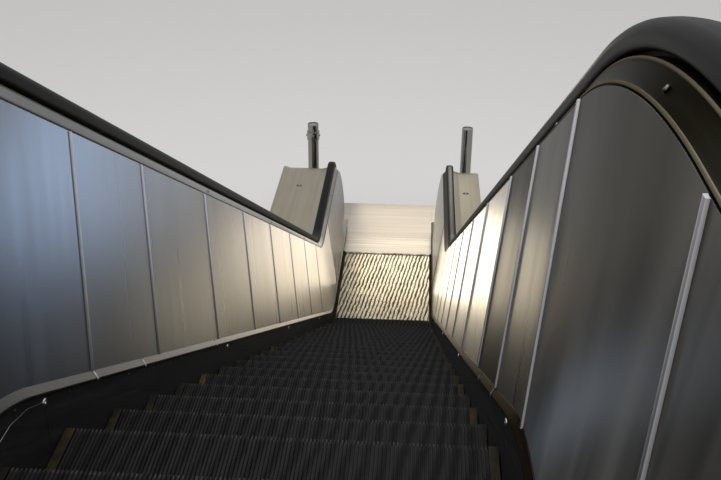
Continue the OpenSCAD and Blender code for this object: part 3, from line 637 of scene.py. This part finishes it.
for finish, nodes in (
        (truss_paint, "truss_lower truss_incline truss_upper"),
        (cladding_steel, "soffit_panels newel_cores_left newel_cores_right"),
        (cladding_steel, "outer_cladding_left outer_cladding_right"),
        (galvanised, "upper_bearing"),
        (plate_steel, "landing_frame_lower landing_frame_upper floor_plate_lower floor_plate_upper"),
        (plate_steel, "balustrade_base_left balustrade_base_right"),
        (comb_plate_steel, "comb_plate_lower comb_plate_upper"),
        (comb_metal, "comb_lower comb_upper"),
        (groove_black, "step_bodies step_treads_lower step_treads_incline step_treads_upper"),
        (insert_ochre, "step_edge_inserts"),
        (skirt_black, "skirt_left skirt_right"),
        (moulding_left, "skirt_moulding_left"), (moulding_right, "skirt_moulding_right"),
        (panel_left, "inner_panels_left"), (panel_right, "inner_panels_right"),
        (joint_bead, "joint_strips_left joint_strips_right"),
        (guide_left, "handrail_guide_left"), (guide_right, "handrail_guide_right"),
        (rubber, "handrail_left handrail_right"),
        (abs_black, "handrail_inlets_left handrail_inlets_right"),
        (deck_steel, "deck_covers_left deck_covers_right"),
        (post_steel, "guide_post_left guide_post_right")):
    for node in nodes.split():
        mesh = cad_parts[node].data
        if not mesh.materials:
            mesh.materials.append(finish)
        for i in range(len(mesh.materials)):
            mesh.materials[i] = finish

# Walls: each joint is its X at the foot of the wall and its slant, which is square to the slope
SQUARE = math.sin(SLOPE) * math.cos(SLOPE)
SLOPE_JOINTS = [JOINT_FIRST + JOINT_PITCH * i for i in range(7)]
SLOPE_JOINTS += [SLOPE_JOINTS[6] + CLOSING_PANEL, SLOPE_JOINTS[6] + CLOSING_PANEL + BEND_PANEL]
JOINTS = [(-LOW_JOINT, 0.0)] + [(x, SQUARE) for x in SLOPE_JOINTS]
JOINTS.append((RUN + UP_JOINT, SQUARE * UP_JOINT_SLANT))
# A sheet that starts before the first of these places or ends after the second is bent.
LOW_BENT, HIGH_BENT = 0.4, RUN - 0.5
# The right wall's sheet beside the upper bend takes the deepest painted shade, and those above it a lighter
# painted shade.
DEEP_SHADE_FROM, LIGHT_SHADE_FROM = 6.3, 6.9


def wall_place(joint, h, y, side):
    """A place on the line of a joint, at height h."""
    x = joint[0] - joint[1] * (h - PANEL_LOW)
    return (x, side * y, line_z(x, h))


def inner_sheets(side):
    """The panels between the joints, each a flat-backed sheet of its thickness, and the two plates round the
    newels.
    """
    shape = Shape(side)
    outline = [(h, 0.0) for h in spread(PANEL_LOW, PANEL_TOP, 10)]
    outline += [(PANEL_TOP, PANEL_T), (PANEL_LOW, PANEL_T)]
    for a, b in zip(JOINTS, JOINTS[1:]):
        a, b = (a[0] + SHEET_GAP / 2, a[1]), (b[0] - SHEET_GAP / 2, b[1])
        bent = a[0] < LOW_BENT or b[0] > HIGH_BENT
        rows = []
        for t in spread(0, 1, 30 if bent else 1):
            station = (a[0] + (b[0] - a[0]) * t, a[1] + (b[1] - a[1]) * t)
            row = []
            for h, back in outline:
                place = wall_place(station, h, panel_y(h) + back, side)
                row.append((place, grain_at(place[0], h)))
            rows.append(row)
        # From these places on, the right wall's sheets take its painted shade copies.
        tone = 0 if side < 0 or a[0] < DEEP_SHADE_FROM else 2 if a[0] < LIGHT_SHADE_FROM else 1
        shape.rows(rows, tones=[tone] * len(outline))
    for at_upper in (False, True):
        newel_plate(shape, side, at_upper)
    steels = [panel_right, panel_right_light_shade, panel_right_deep_shade] if side > 0 else [panel_left]
    shape.piece("inner_panel_sheets", steels, "panel_steel", ["inner_panels"])


def newel_plate(shape, side, at_upper):
    """The sheet that closes a newel: a level start, a half round and a cut under the rail."""
    base, end = landing(at_upper), 1 if at_upper else -1
    centre, neck = turned_round(-NEWEL_X, at_upper), turned_round(-NECK_X, at_upper)
    joint, slant = JOINTS[-1] if at_upper else JOINTS[0]
    start = joint + end * SHEET_GAP / 2
    outline = [(start, base + PANEL_LOW), (start - slant * (PANEL_TOP - PANEL_LOW), base + PANEL_TOP)]
    for a in spread(0, math.pi, 48):
        outline.append((centre + end * NEWEL_R * math.sin(a), base + NEWEL_H + NEWEL_R * math.cos(a)))
    outline += [(neck, base + NEWEL_H - NEWEL_R), (neck, base + PANEL_LOW)]
    front, rear = ([shape.add((x, side * (panel_y(z - base) + back), z), (z - base, x)) for x, z in outline]
                   for back in (0.0, PANEL_T))
    # The right wall's upper newel plate takes the lighter painted shade copy.
    tone = 1 if side > 0 and at_upper else 0
    shape.face(front, tone)
    shape.face(rear[::-1], tone)
    for i in range(len(outline)):
        k = (i + 1) % len(outline)
        shape.face((front[i], rear[i], rear[k], front[k])[::-1], tone)


def joint_beads(side):
    """Rounded cover beads over the joints between the panels. At the head they stand 6 mm
    proud on the right wall and 4 mm on the left, and they sit flatter towards the foot."""
    shape = Shape(side)
    edge = [(0.0065, 0.0), (0.0064, 0.0044), (0.0060, 0.0053), (0.0050, 0.0058)]
    section = [(-d, out) for d, out in edge] + [(0.0, 0.0060)] + edge[::-1]
    full, flattest, gain = 1.0 if side > 0 else 0.66, 0.4, 0.15
    for x, slant in JOINTS:
        proud = max(flattest, full * min(1.0, flattest + (x - 1.0) * gain))
        rows = []
        for h in spread(PANEL_LOW, PANEL_TOP, 12):
            y = panel_y(h) - SEAT
            rows.append([(wall_place((x + d, slant), h, y - proud * out, side), (h, d))
                         for d, out in section])
        shape.rows(rows)
    shape.piece("joint_beads", [joint_bead], "bright_trim", ["joint_strips"])


def handrail(side):
    """The rubber handrail: a crowned C section that rides on the guide's head."""
    lip, pocket, pocket_low = 0.018, 0.027, 0.905
    outer = [(lip, RAIL_LOW, 0.002), (RAIL_HALF, RAIL_LOW, 0.012), (RAIL_HALF, RAIL_TOP - 0.004, 0.024)]
    inner = [(pocket, HEAD_TOP + PLAY, 0), (pocket, pocket_low, 0), (lip, pocket_low, 0)]
    corners = outer + [(0.0, RAIL_TOP, 0.08)]
    corners += [(-y, h, r) for y, h, r in outer[::-1]] + [(-y, h, r) for y, h, r in inner[::-1]] + inner
    shape = Shape(side)
    loop_shape(shape, rounded([(RAIL_Y + y, h, r) for y, h, r in corners], 6), side)
    shape.piece("handrail_rubber", [rubber], "handrail_rubber", ["handrail"], sharp=50)


# Foot of the handrail guide, the decks and the fixings that sit there
GUIDE_IN, GUIDE_FOOT = PANEL_Y + PANEL_LEAN, PANEL_TOP + SEAT


def rail_guide(side):
    """The guide under the handrail: its head, a ledge, and a dished face between two wiped rims."""
    head = [(STEM_HALF, GUIDE_TOP, 0), (STEM_HALF, HEAD_LOW, 0), (HEAD_HALF, HEAD_LOW, 0)]
    head += [(HEAD_HALF, HEAD_TOP, 0.002)]
    corners = [(GUIDE_IN, GUIDE_FOOT, 0.002), (RAIL_Y + RAIL_HALF, GUIDE_FOOT, 0)]
    corners += [(RAIL_Y + RAIL_HALF, GUIDE_TOP, 0.002)] + [(RAIL_Y + y, h, r) for y, h, r in head]
    corners += [(RAIL_Y - y, h, r) for y, h, r in head[::-1]]
    section = rounded(corners, 3)
    top, low = Vector((RAIL_Y - RAIL_HALF, GUIDE_TOP)), Vector((GUIDE_IN + 0.002, GUIDE_FOOT + 0.004))
    down, length = (low - top).normalized(), (low - top).length
    out = Vector((down.y, -down.x))
    start = len(section)
    # The face, as distances down from its top and heights off it
    face = [(0.0, 0.0), (0.001, 0.001), (0.0025, 0.0014), (0.0045, 0.0012), (0.006, -0.0002)]
    face += [(0.012, -0.0016), (0.5 * length, -0.0026), (length - 0.012, -0.0016)]
    face += [(length - 0.006, -0.0002), (length - 0.0045, 0.0010), (length - 0.0025, 0.0012), (length, 0.0)]
    section += [tuple(top + down * d + out * height) for d, height in face]
    rims = [start + k for k in (0, 1, 2, 3, 8, 9, 10)]
    shape = Shape(side)
    loop_shape(shape, section, side, tones=[1 if i in rims else 0 for i in range(len(section))])
    shape.piece("handrail_guide_profile", [guide_right if side > 0 else guide_left, rim_metal],
                "bright_trim", ["handrail_guide"])


def skirt_cap(side):
    """The moulding on the skirt: a rounded strip whose face slopes up to the wall."""
    back, nose, top = CHANNEL + SKIRT_T, CHANNEL - 0.008, PANEL_LOW + 0.0015
    section = rounded([
        (CHANNEL, SKIRT_TOP, 0), (back, SKIRT_TOP, 0), (back, top, 0),
        (CHANNEL + 0.003, top, 0.0015), (nose, SKIRT_TOP + 0.006, 0.003), (nose, SKIRT_TOP, 0.002)], 4)
    shape = Shape(side)
    line_shape(shape, section, side, -FOOT_X, RUN + FOOT_X)
    shape.piece("skirt_moulding_strip", [moulding_right if side > 0 else moulding_left],
                "bright_trim", ["skirt_moulding"], sharp=50)


def deck_sheets(side):
    """The deck covers: a flat top with a dished band that climbs to the handrail. Their outer
    edge laps over the cladding."""
    lap = 0.0015
    inner, outer, lip = RAIL_Y + RAIL_HALF, DECK_OUT[side] + 0.0005, DECK_TOP + DECK_LIP
    corners = [(inner, GUIDE_FOOT, 0), (outer, GUIDE_FOOT - lap, 0)]
    if side < 0:
        corners += [(outer, lip, 0.003), (outer - 0.004, lip, 0.002), (outer - DECK_BAND, DECK_TOP, 0.05)]
    else:
        corners += [(outer, DECK_TOP, 0.004)]
    corners += [(inner + DECK_BAND, DECK_TOP, 0.05), (inner + 0.004, lip, 0.002), (inner, lip, 0.003)]
    section = rounded(corners, 5)
    # Hands rub the lip beside the handrail.
    rub_wide, rub_deep = 0.0085, 0.007
    tones = [1 if y < inner + rub_wide and h > lip - rub_deep else 0 for y, h in section]
    shape = Shape(side)
    path, nearest = loop_path(), 0.02
    edges = [None] + CLAD_JOINTS + [None]
    for a, b in zip(edges, edges[1:]):
        part = [p for p in path if (a is None or p[0] > a + nearest) and (b is None or p[0] < b - nearest)]
        for x, at_start in ((a, True), (b, False)):
            if x is None:
                continue
            x += SHEET_GAP / 2 if at_start else -SHEET_GAP / 2
            end = (x, LIFT + PANEL_TOP + x * math.tan(SLOPE), -math.sin(SLOPE), math.cos(SLOPE))
            part = [end] + part if at_start else part + [end]
        loop_shape(shape, section, side, part, tones)
    shape.piece("deck_sheets", [deck_steel, lip_metal], "deck_steel", ["deck_covers"], sharp=40)


for side in SIDES:
    inner_sheets(side)
    joint_beads(side)
    handrail(side)
    rail_guide(side)
    skirt_cap(side)
    deck_sheets(side)

# Steps and combs
CLEATS, CLEAT_PITCH, CLEAT_TOP, CLEAT_FOOT = 105, 0.00907, 0.0036, 0.0048
CLEAT_YS = [(i - (CLEATS - 1) / 2) * CLEAT_PITCH for i in range(CLEATS)]
# The last tread is cut where it runs under the comb plate.
TREADS_END = RUN + FIRST_NOSING + STEP_PITCH + 0.029
NOSING, CHAMFER, CHAMFER_DROP = 0.012, 0.002, 0.0012


def tread(shape, x, z, shift):
    """One tread: narrow cleats with grooves between them, and its pan below. The crowns end in
    a fine chamfer at both edges, and the nosing strip takes a lighter finish: wear from soles, and a painted
    highlight of the edge."""
    length = min(STEP_PITCH - STEP_GAP, TREADS_END - x)
    half, top, low = STEP_W / 2, LIFT + z, LIFT + z - GROOVE
    profile, tones = [(-half, low)], []
    for y in CLEAT_YS:
        profile += [(y - CLEAT_FOOT / 2, low), (y - CLEAT_TOP / 2, top)]
        profile += [(y + CLEAT_TOP / 2, top), (y + CLEAT_FOOT / 2, low)]
        tones += [0, 0, 1, 0]
    profile += [(half, low), (half, low - TREAD_T), (-half, low - TREAD_T)]
    tones += [0, 0, 0, 0]
    nosing = ((0.0, CHAMFER_DROP), (CHAMFER, 0.0), (NOSING, 0.0))
    field = ((NOSING, 0.0), (length - CHAMFER, 0.0), (length, CHAMFER_DROP))
    for crown, strip in ((2, nosing), (1, field)):
        rows = []
        for d, drop in strip:
            rows.append([((x + d, y, h - (drop if h == top else 0)), (y + shift, d)) for y, h in profile])
        shape.rows(rows, tones=[crown * tone for tone in tones])


def treads(part, chosen, finishes):
    """A run of treads; each shifts the stroke pattern a little, so that no two match."""
    shape, shift = Shape(), 0.017
    for k, (x, z) in enumerate(chosen):
        tread(shape, x, z, shift * k)
    shape.piece(f"fine_cleat_treads_{part}", finishes, "step_aluminium", [f"step_treads_{part}"], sharp=25)


def riser_ribs(places):
    """Fine ribs on the curved risers, in line with the cleats of the treads."""
    shape = Shape()
    start, end = math.asin((GROOVE + TREAD_T) / STEP_PITCH), math.asin(RISER_H / STEP_PITCH)
    foot, crown, sunk, proud = CLEAT_FOOT / 2, CLEAT_TOP / 2, -0.0004, 0.0022
    for x, z in places:
        for y in CLEAT_YS:
            rows = []
            for t in spread(start, end, 4):
                row = []
                for dy, out in ((-foot, sunk), (-crown, proud), (crown, proud), (foot, sunk)):
                    r = STEP_PITCH + out
                    place = (x + STEP_PITCH - r * math.cos(t), y + dy, LIFT + z - r * math.sin(t))
                    row.append((place, (y + dy, t)))
                rows.append(row)
            shape.rows(rows)
    shape.piece("riser_ribs", [crown_incline], "step_aluminium", sharp=25)


def comb_pieces(at_upper):
    """A comb in five sections with a low step across their backs, and a tooth in every groove."""
    shape = Shape()
    base, root = landing(at_upper), COMB_X + COMB_LEN
    tooth_root, tooth_top, low = root - 0.030, 0.0068, 0.003 - GROOVE
    inner = STEP_W / 2 - INSERT_W
    edges = spread(-inner, inner, 5)
    ring = [(root, 0.001), (tooth_root, 0.001), (tooth_root, tooth_top), (tooth_root + 0.004, PLATE_LIFT)]
    ring += [(root, PLATE_LIFT)]
    for a, b in zip(edges, edges[1:]):
        shape.rows([[((turned_round(-x, at_upper), y, base + h), (y, -x)) for x, h in ring]
                    for y in (a + 0.0006, b - 0.0006)])
    # A tooth, from its root to its tip: place, half width and top
    tooth = ((tooth_root + 0.002, 0.0019, tooth_top), (COMB_X + 0.030, 0.0017, 0.0022),
             (COMB_X + 0.004, 0.0014, -0.0036), (COMB_X, 0.0009, -0.0052))
    for y in [y + CLEAT_PITCH / 2 for y in CLEAT_YS[:-1]]:
        rows = []
        for x, half, top in tooth:
            corners = ((-half, low), (half, low), (half * 0.55, top), (-half * 0.55, top))
            rows.append([((turned_round(-x, at_upper), y + d, base + h), (y, -x)) for d, h in corners])
        shape.rows(rows)
    node = "comb_upper" if at_upper else "comb_lower"
    shape.piece(f"fine_{node}", [comb_metal], "comb_aluminium", [node], sharp=30)


places = nosings()
lower = [p for p in places if p[1] < 0.001 and p[0] < 0]
upper = [p for p in places if p[0] > RUN - BEND_STEP[1] * math.tan(SLOPE / 2)]
middle = [p for p in places if p not in lower and p not in upper]
coated = [groove_incline, crown_incline, nosing_incline]
treads("lower", lower, [groove_landing, crown_landing, crown_landing])
treads("incline", middle, coated)
treads("upper", upper, coated)
riser_ribs(places[1:])
comb_pieces(False)
comb_pieces(True)

# Fixings and small pieces
SKIRT_JOINTS = (-0.62, 1.35, 3.35, 5.35, 7.352, 9.2)
MOULDING_JOINTS = (-0.7, 1.5, 3.4, 5.59, 6.6, 7.02, 9.0)
GUIDE_SCREWS = {1: (-1.2, 1.4, 3.2, 6.865, 7.866, 9.3), -1: (-1.2, 1.4, 3.2, 5.03, 9.3)}


def skirt_fixings(side):
    """Screws along the skirt, its sheet joints, and the joint sleeves on the moulding."""
    shape = Shape(side)
    first, pitch, screw_h, joint_h = -1.95, 0.15, 0.093, 0.086
    for x in [first + pitch * i for i in range(76) if first + pitch * i <= RUN - first]:
        screw(shape, (x, side * CHANNEL, line_z(x, screw_h)), (0, -side, 0), ALONG, SKIRT_SCREW)
    for x in SKIRT_JOINTS:
        screw(shape, (x, side * CHANNEL, line_z(x, joint_h)), (0, -side, 0), ALONG, SEAM_SCREW, 1)
    # Raised seams: (offset, how proud)
    joint = ((-0.0012, 0.0), (-0.0009, 0.0003), (0.0009, 0.0003), (0.0012, 0.0))
    seam = ((-0.0006, 0.0), (-0.0005, 0.0002), (0.0005, 0.0002), (0.0006, 0.0))
    for x in SKIRT_JOINTS:
        shape.rows([[((x + d, side * (CHANNEL - out), line_z(x, h)), (h, d)) for d, out in joint]
                    for h in (joint_h, 0.055, 0.02, -0.03)])
    # The seam of the skirt's head sheet runs level from its screw. Only the left skirt has one.
    route = [(7.352, 0.0862), (7.44, 0.0820), (7.531, 0.0655), (7.592, 0.0445), (7.70, 0.0150)]
    for at_upper in (False, True) if side < 0 else ():
        rows = []
        for x, h in [(turned_round(x, not at_upper), h) for x, h in route]:
            rows.append([((x, side * (CHANNEL - out), line_z(x, h) + d), (h, x)) for d, out in seam])
        shape.rows(rows, tones=[1] * len(seam))
    shape.piece("skirt_screws", [screw_black, bright_bead], "bright_trim", sharp=50)
    sleeves = Shape(side)
    back, nose, top = CHANNEL + 0.001, CHANNEL - 0.0087, PANEL_LOW + 0.0022
    section = [(back, SKIRT_TOP - 0.0007), (back, top), (CHANNEL + 0.0024, top),
               (nose, SKIRT_TOP + 0.0056), (nose, SKIRT_TOP - 0.0007)]
    for x in MOULDING_JOINTS:
        sleeves.rows([[((x + d, side * y, line_z(x + d, h)), (h, d)) for y, h in section]
                      for d in (-0.006, 0.006)])
    sleeves.piece("moulding_sleeves", [bright_bead], "bright_trim")


def guide_fixings(side):
    """Domed fasteners on the inner slope of the handrail guide."""
    shape = Shape(side)
    a, b = Vector((GUIDE_IN + 0.004, GUIDE_FOOT + 0.008)), Vector((RAIL_Y - RAIL_HALF, GUIDE_TOP))
    mid = a.lerp(b, 0.45)
    out = Vector((-(b - a).y, (b - a).x)).normalized()
    d = mid.y - PANEL_TOP
    low, high = (r * math.tan(SLOPE / 2) for r in BEND_RAIL)
    for x in GUIDE_SCREWS[side]:
        slope = 0.0 if x < -low or x > RUN + high else SLOPE
        nx, nz = -math.sin(slope), math.cos(slope)
        centre = (x + nx * d, side * mid.x, line_z(x, PANEL_TOP) + nz * d)
        screw(shape, centre, (nx * out.y, side * out.x, nz * out.y), (nz, 0, -nx), GUIDE_SCREW)
    shape.piece("guide_fasteners", [rim_metal], "bright_trim", sharp=50)


def deck_locks():
    """Oval escutcheons of the key switches in the deck, one beside each newel."""
    shape = Shape()
    half_long, half_wide, sides = 0.032, 0.021, 36
    # (share of the oval, height), then the barrel's (radius, height)
    plate = ((1.0, -0.0003), (1.0, 0.0015), (0.93, 0.0022), (0.45, 0.0022), (0.4, 0.0012), (0.02, 0.0010))
    barrel = ((0.0075, 0.001), (0.0075, 0.0032), (0.0068, 0.0038), (0.0045, 0.0038), (0.004, 0.003),
              (CROWN_TIP, 0.003))
    for side, low_x, y in ((1, -1.36, 0.844), (-1, -1.43, 0.990)):
        for at_upper in (False, True):
            x, z = turned_round(low_x, at_upper), landing(at_upper) + DECK_TOP
            rows = []
            for r, h in plate:
                ring = []
                for k in range(sides):
                    a = 2 * math.pi * k / sides
                    place = (x + half_wide * r * math.cos(a), side * y + half_long * r * math.sin(a), z + h)
                    ring.append((place, (r, a)))
                rows.append(ring)
            shape.rows(rows, tones=[2] * sides)
            turned(shape, barrel, (x, side * y, z), ALONG, ACROSS, UP, 24, 1)
    shape.piece("deck_key_switches", [deck_steel, bright_bead, screw_black], "bright_trim", sharp=40)


POST_X, POST_Y, POST_R, POST_H = -2.690, {1: 0.890, -1: -0.960}, 0.065, 1.095
COLLAR_R, COLLAR_LOW, COLLAR_TOP = 0.075, 0.893, 1.007
FLANGE_R, FLANGE_T, BOLT_CIRCLE = 0.095, 0.010, 0.080


def guide_posts(side):
    """A polished post on a bolted flange, with a rolled rim. The left one has a collar, which
    is a clamp drawn together by a screw at each side."""
    y, base = POST_Y[side], LIFT + PLATE_LIFT
    shape = Shape(side)
    profile = [(0.0002, 0.0), (FLANGE_R, 0.0), (FLANGE_R, 0.008), (0.093, FLANGE_T), (0.070, FLANGE_T)]
    profile += [(0.0665, 0.012), (POST_R, 0.016)]
    if side < 0:
        profile += [(POST_R, COLLAR_LOW), (0.0735, COLLAR_LOW + 0.002), (COLLAR_R, COLLAR_LOW + 0.006)]
        profile += [(COLLAR_R, COLLAR_TOP - 0.006), (0.0735, COLLAR_TOP - 0.002), (POST_R, COLLAR_TOP)]
    profile += [(POST_R, 1.090), (0.0635, 1.0945), (0.0615, POST_H), (0.0600, 1.0935), (0.0590, 1.086)]
    profile += [(0.0002, 1.085)]
    turned(shape, profile, (POST_X, y, base), ALONG, ACROSS, UP, 64)
    lug = [(0.016, 0.060), (0.016, 0.080), (0.013, 0.084), (0.0005, 0.084)]
    middle = base + (COLLAR_LOW + COLLAR_TOP) / 2
    for facing in (-1, 1) if side < 0 else ():
        turned(shape, lug, (POST_X, y, middle), ALONG, (0, 0, facing), (0, facing, 0), 24)
    for k in range(4):
        a = math.pi / 4 + k * math.pi / 2
        centre = (POST_X + BOLT_CIRCLE * math.cos(a), y + BOLT_CIRCLE * math.sin(a), base + FLANGE_T)
        screw(shape, centre, UP, ALONG, POST_SCREW)
    shape.piece("polished_guide_post", [post_steel], "post_steel", ["guide_post"], sharp=35)


def landing_fixings():
    """Countersunk screws of the landing frames, the floor plates and the combs."""
    shape = Shape()
    # Frame ends, frame sides, floor plate corners, comb plate, comb
    places = [(LANDING_END - 0.020, y) for y in spread(-1.10, 0.90, 8)]
    places += [(2.45 - 0.15 * i, s * w) for i in range(3) for s, w in ((1, 0.93), (-1, 1.15))]
    places += [(x, s * 0.43) for x in (LANDING_END - 0.11, SEAM_X + 0.07) for s in (-1, 1)]
    places += [(SEAM_X - 0.04, y) for y in spread(-0.44, 0.44, 4)]
    places += [(COMB_X + COMB_LEN - 0.014, y) for y in spread(-0.43, 0.43, 9)]
    for at_upper in (False, True):
        for x, y in places:
            centre = (turned_round(-x, at_upper), y, landing(at_upper) + PLATE_LIFT)
            screw(shape, centre, UP, ALONG, LANDING_SCREW)
    shape.piece("landing_screws", [plate_steel], "landing_steel", sharp=40)


def cladding_fixings(side):
    """Button screws beside each joint of the outer cladding."""
    shape = Shape(side)
    lowest, edge_below, edge_above, beside = 0.36, 0.09, 0.07, 0.045
    for joint in (-0.1, *CLAD_JOINTS, RUN + 0.1):
        for x in (joint - beside, joint + beside):
            foot = max(0.0, (x * math.tan(SLOPE) if x < RUN else RISE) - TRUSS_DEPTH) + LIFT
            foot = max(foot, lowest)
            for z in spread(foot + edge_below, line_z(x, PANEL_TOP) - edge_above, 7):
                screw(shape, (x, side * DECK_OUT[side], z), (0, side, 0), ALONG, CLADDING_SCREW)
    shape.piece("cladding_screws", [bright_bead], "bright_trim", sharp=50)


def inlet_boots(side):
    """Ribbed boots where the handrails run back into the necks of the newels."""
    shape = Shape(side)
    # Distance from the neck, and how far the boot stands off the handrail there
    profile = [(-0.0005, 0.0205), (0.0, 0.022), (0.012, 0.022), (0.015, 0.017), (0.024, 0.017)]
    profile += [(0.027, 0.012), (0.036, 0.012), (0.039, 0.008), (0.050, 0.008), (0.058, 0.005)]
    profile += [(0.0608, 0.0035), (0.0615, 0.002)]
    for at_upper in (False, True):
        end, wall = 1 if at_upper else -1, turned_round(-NECK_X, at_upper)
        mid = landing(at_upper) + NEWEL_H - NEWEL_R - (RAIL_LOW + RAIL_TOP) / 2 + PANEL_TOP
        rows = []
        for d, grow in profile:
            w, t, r = RAIL_HALF + grow, (RAIL_TOP - RAIL_LOW) / 2 + grow, 0.014 + grow * 0.5
            ring = []
            for quarter, (over, above) in enumerate(((1, 1), (-1, 1), (-1, -1), (1, -1))):
                cy, cz = over * (w - r), above * (t - r)
                for a in spread(quarter * math.pi / 2, (quarter + 1) * math.pi / 2, 6):
                    y, z = side * (RAIL_Y + cy + r * math.cos(a)), mid + cz + r * math.sin(a)
                    ring.append(((wall + end * d, y, z), (d, a)))
            rows.append(ring)
        shape.rows(rows)
    shape.piece("ribbed_inlet_boots", [abs_black], "inlet_plastic", ["handrail_inlets"], sharp=30)


for side in SIDES:
    skirt_fixings(side)
    guide_fixings(side)
    guide_posts(side)
    cladding_fixings(side)
    inlet_boots(side)
deck_locks()
landing_fixings()

# Floor, light and camera


def floor():
    """A pale floor at the level of the landing frame, open round the landing's pan."""
    material = finish_named("pale_floor", "d6d4d0", Roughness=0.9, Specular_IOR_Level=0.0)[0]
    reach, gap, pan_end = 40.0, 0.003, 2.010
    level = LIFT + PLATE_LIFT - 0.001
    xs = (-reach, -LANDING_END - gap, pan_end, reach)
    ys = (-reach, -DECK_OUT[-1] - gap, DECK_OUT[1] + gap, reach)
    points = [(x, y, level) for x in xs for y in ys]
    tiles = [(i, j) for i in range(3) for j in range(3) if (i, j) != (1, 1)]
    faces = [(4 * i + j, 4 * i + 4 + j, 4 * i + 5 + j, 4 * i + 1 + j) for i, j in tiles]
    points += [(xs[i], ys[j], -0.002) for i, j in ((1, 1), (2, 1), (2, 2), (1, 2))]
    rim = [5, 9, 10, 6]
    faces += [(rim[k], rim[(k + 1) % 4], 16 + (k + 1) % 4, 16 + k) for k in range(4)] + [(16, 17, 18, 19)]
    mesh = bpy.data.meshes.new("floor")
    mesh.from_pydata(points, [], faces)
    mesh.materials.append(material)
    obj = bpy.data.objects.new("floor", mesh)
    bpy.context.scene.collection.objects.link(obj)


def softbox(name, place, aim, size, power, tone, sheen_on=(), cone=180.0):
    """A soft lamp out of the camera's sight, or only a sheen on the metal pieces that are named."""
    data = bpy.data.lights.new(name, "AREA")
    data.shape = "RECTANGLE"
    data.size, data.size_y = size
    data.energy, data.color, data.spread = power, linear(tone)[:3], math.radians(cone)
    lamp = bpy.data.objects.new(name, data)
    lamp.location = place
    lamp.rotation_euler = (Vector(aim) - Vector(place)).to_track_quat("-Z", "Y").to_euler()
    lamp.visible_camera = False
    bpy.context.scene.collection.objects.link(lamp)
    if sheen_on:
        lamp.visible_diffuse = False
        lit = bpy.data.collections.new(name + "_pieces")
        for piece in sheen_on:
            lit.objects.link(bpy.data.objects[piece])
        lamp.light_linking.receiver_collection = lit


def surroundings():
    """Soft light grey all round, also as the background."""
    world = bpy.data.worlds.new("studio")
    world.use_nodes = True
    tree = world.node_tree
    tree.nodes.clear()
    grey = add(tree, "Background", {"Color": linear("e0e1e3"), "Strength": 1.0})
    end = add(tree, "OutputWorld")
    tree.links.new(grey.outputs[0], end.inputs[0])
    bpy.context.scene.world = world


def camera():
    """Standing at the head of the escalator, looking down it with a 53 mm lens. Its place was
    solved from the photo's vanishing points."""
    data = bpy.data.cameras.new("camera")
    data.sensor_width = 36.0
    data.lens = 52.93
    obj = bpy.data.objects.new("camera", data)
    back = Vector((0.88672, 0.04982, 0.45961)).normalized()
    right = Vector((-0.0603, 0.99819, 0.00813))
    right = (right - back * right.dot(back)).normalized()
    obj.matrix_world = Matrix((right, back.cross(right), back)).transposed().to_4x4()
    obj.location = (9.2068, 0.2911, 6.0188)
    bpy.context.scene.collection.objects.link(obj)
    bpy.context.scene.camera = obj


floor()
softbox("overhead", (4.0, 0.0, 13.0), (4.0, 0.0, 2.0), (14.0, 10.0), 800, "fbfbff")
walls = {side: [f"inner_panel_sheets_{side}", f"joint_beads_{side}", f"handrail_guide_profile_{side}",
                f"skirt_moulding_strip_{side}"] for side in SIDES.values()}
plates = [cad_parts[node].name
          for node in ("floor_plate_lower", "comb_plate_lower", "landing_frame_lower")]
# Upright cards beyond the lower landing, for its plates and treads
for name, power, lit in (("plate_sheen", 10, plates),
                         ("tread_sheen", 20, ["fine_cleat_treads_lower", "fine_comb_lower"])):
    softbox(name, (-3.35, 0.20, 1.27), (0.0, 0.20, 1.27), (1.3, 1.4), power, "fff0da", lit)
# Narrow glows up the slope from the foot, which the brushed walls mirror
softbox("left_glow", (-0.75, -0.05, 0.84), (8.05, -0.05, 5.54), (0.95, 0.90), 0.90, "ffefd6",
        walls["left"], cone=80)
softbox("right_glow", (-0.75, 0.10, 0.82), (8.05, 0.10, 5.52), (0.7, 0.95), 1.55, "fff0d2",
        walls["right"], cone=80)
# Cooler light that the walls mirror nearer the head
softbox("left_sheen", (0.6, 2.0, 1.6), (0.6, 0.0, 1.6), (5.5, 2.5), 165, "b4d2ff", walls["left"][:3])
softbox("right_sheen", (6.0, -0.30, 3.98), (14.5, 0.9, 8.96), (0.3, 0.3), 0.3, "9aa8be",
        walls["right"][:1], cone=100)
# Sheens on the right deck and handrail at the lower landing
softbox("deck_sheen", (-3.35, 0.90, 2.25), (0.0, 0.90, 2.25), (0.35, 0.8), 1.4, "fff6e6",
        ["deck_sheets_right"])
softbox("rail_sheen", (-3.35, 0.74, 2.30), (0.0, 0.74, 2.30), (0.40, 0.8), 40, "fff6e6",
        ["handrail_rubber_right"])
surroundings()
camera()
bpy.context.scene.view_settings.view_transform = "Standard"
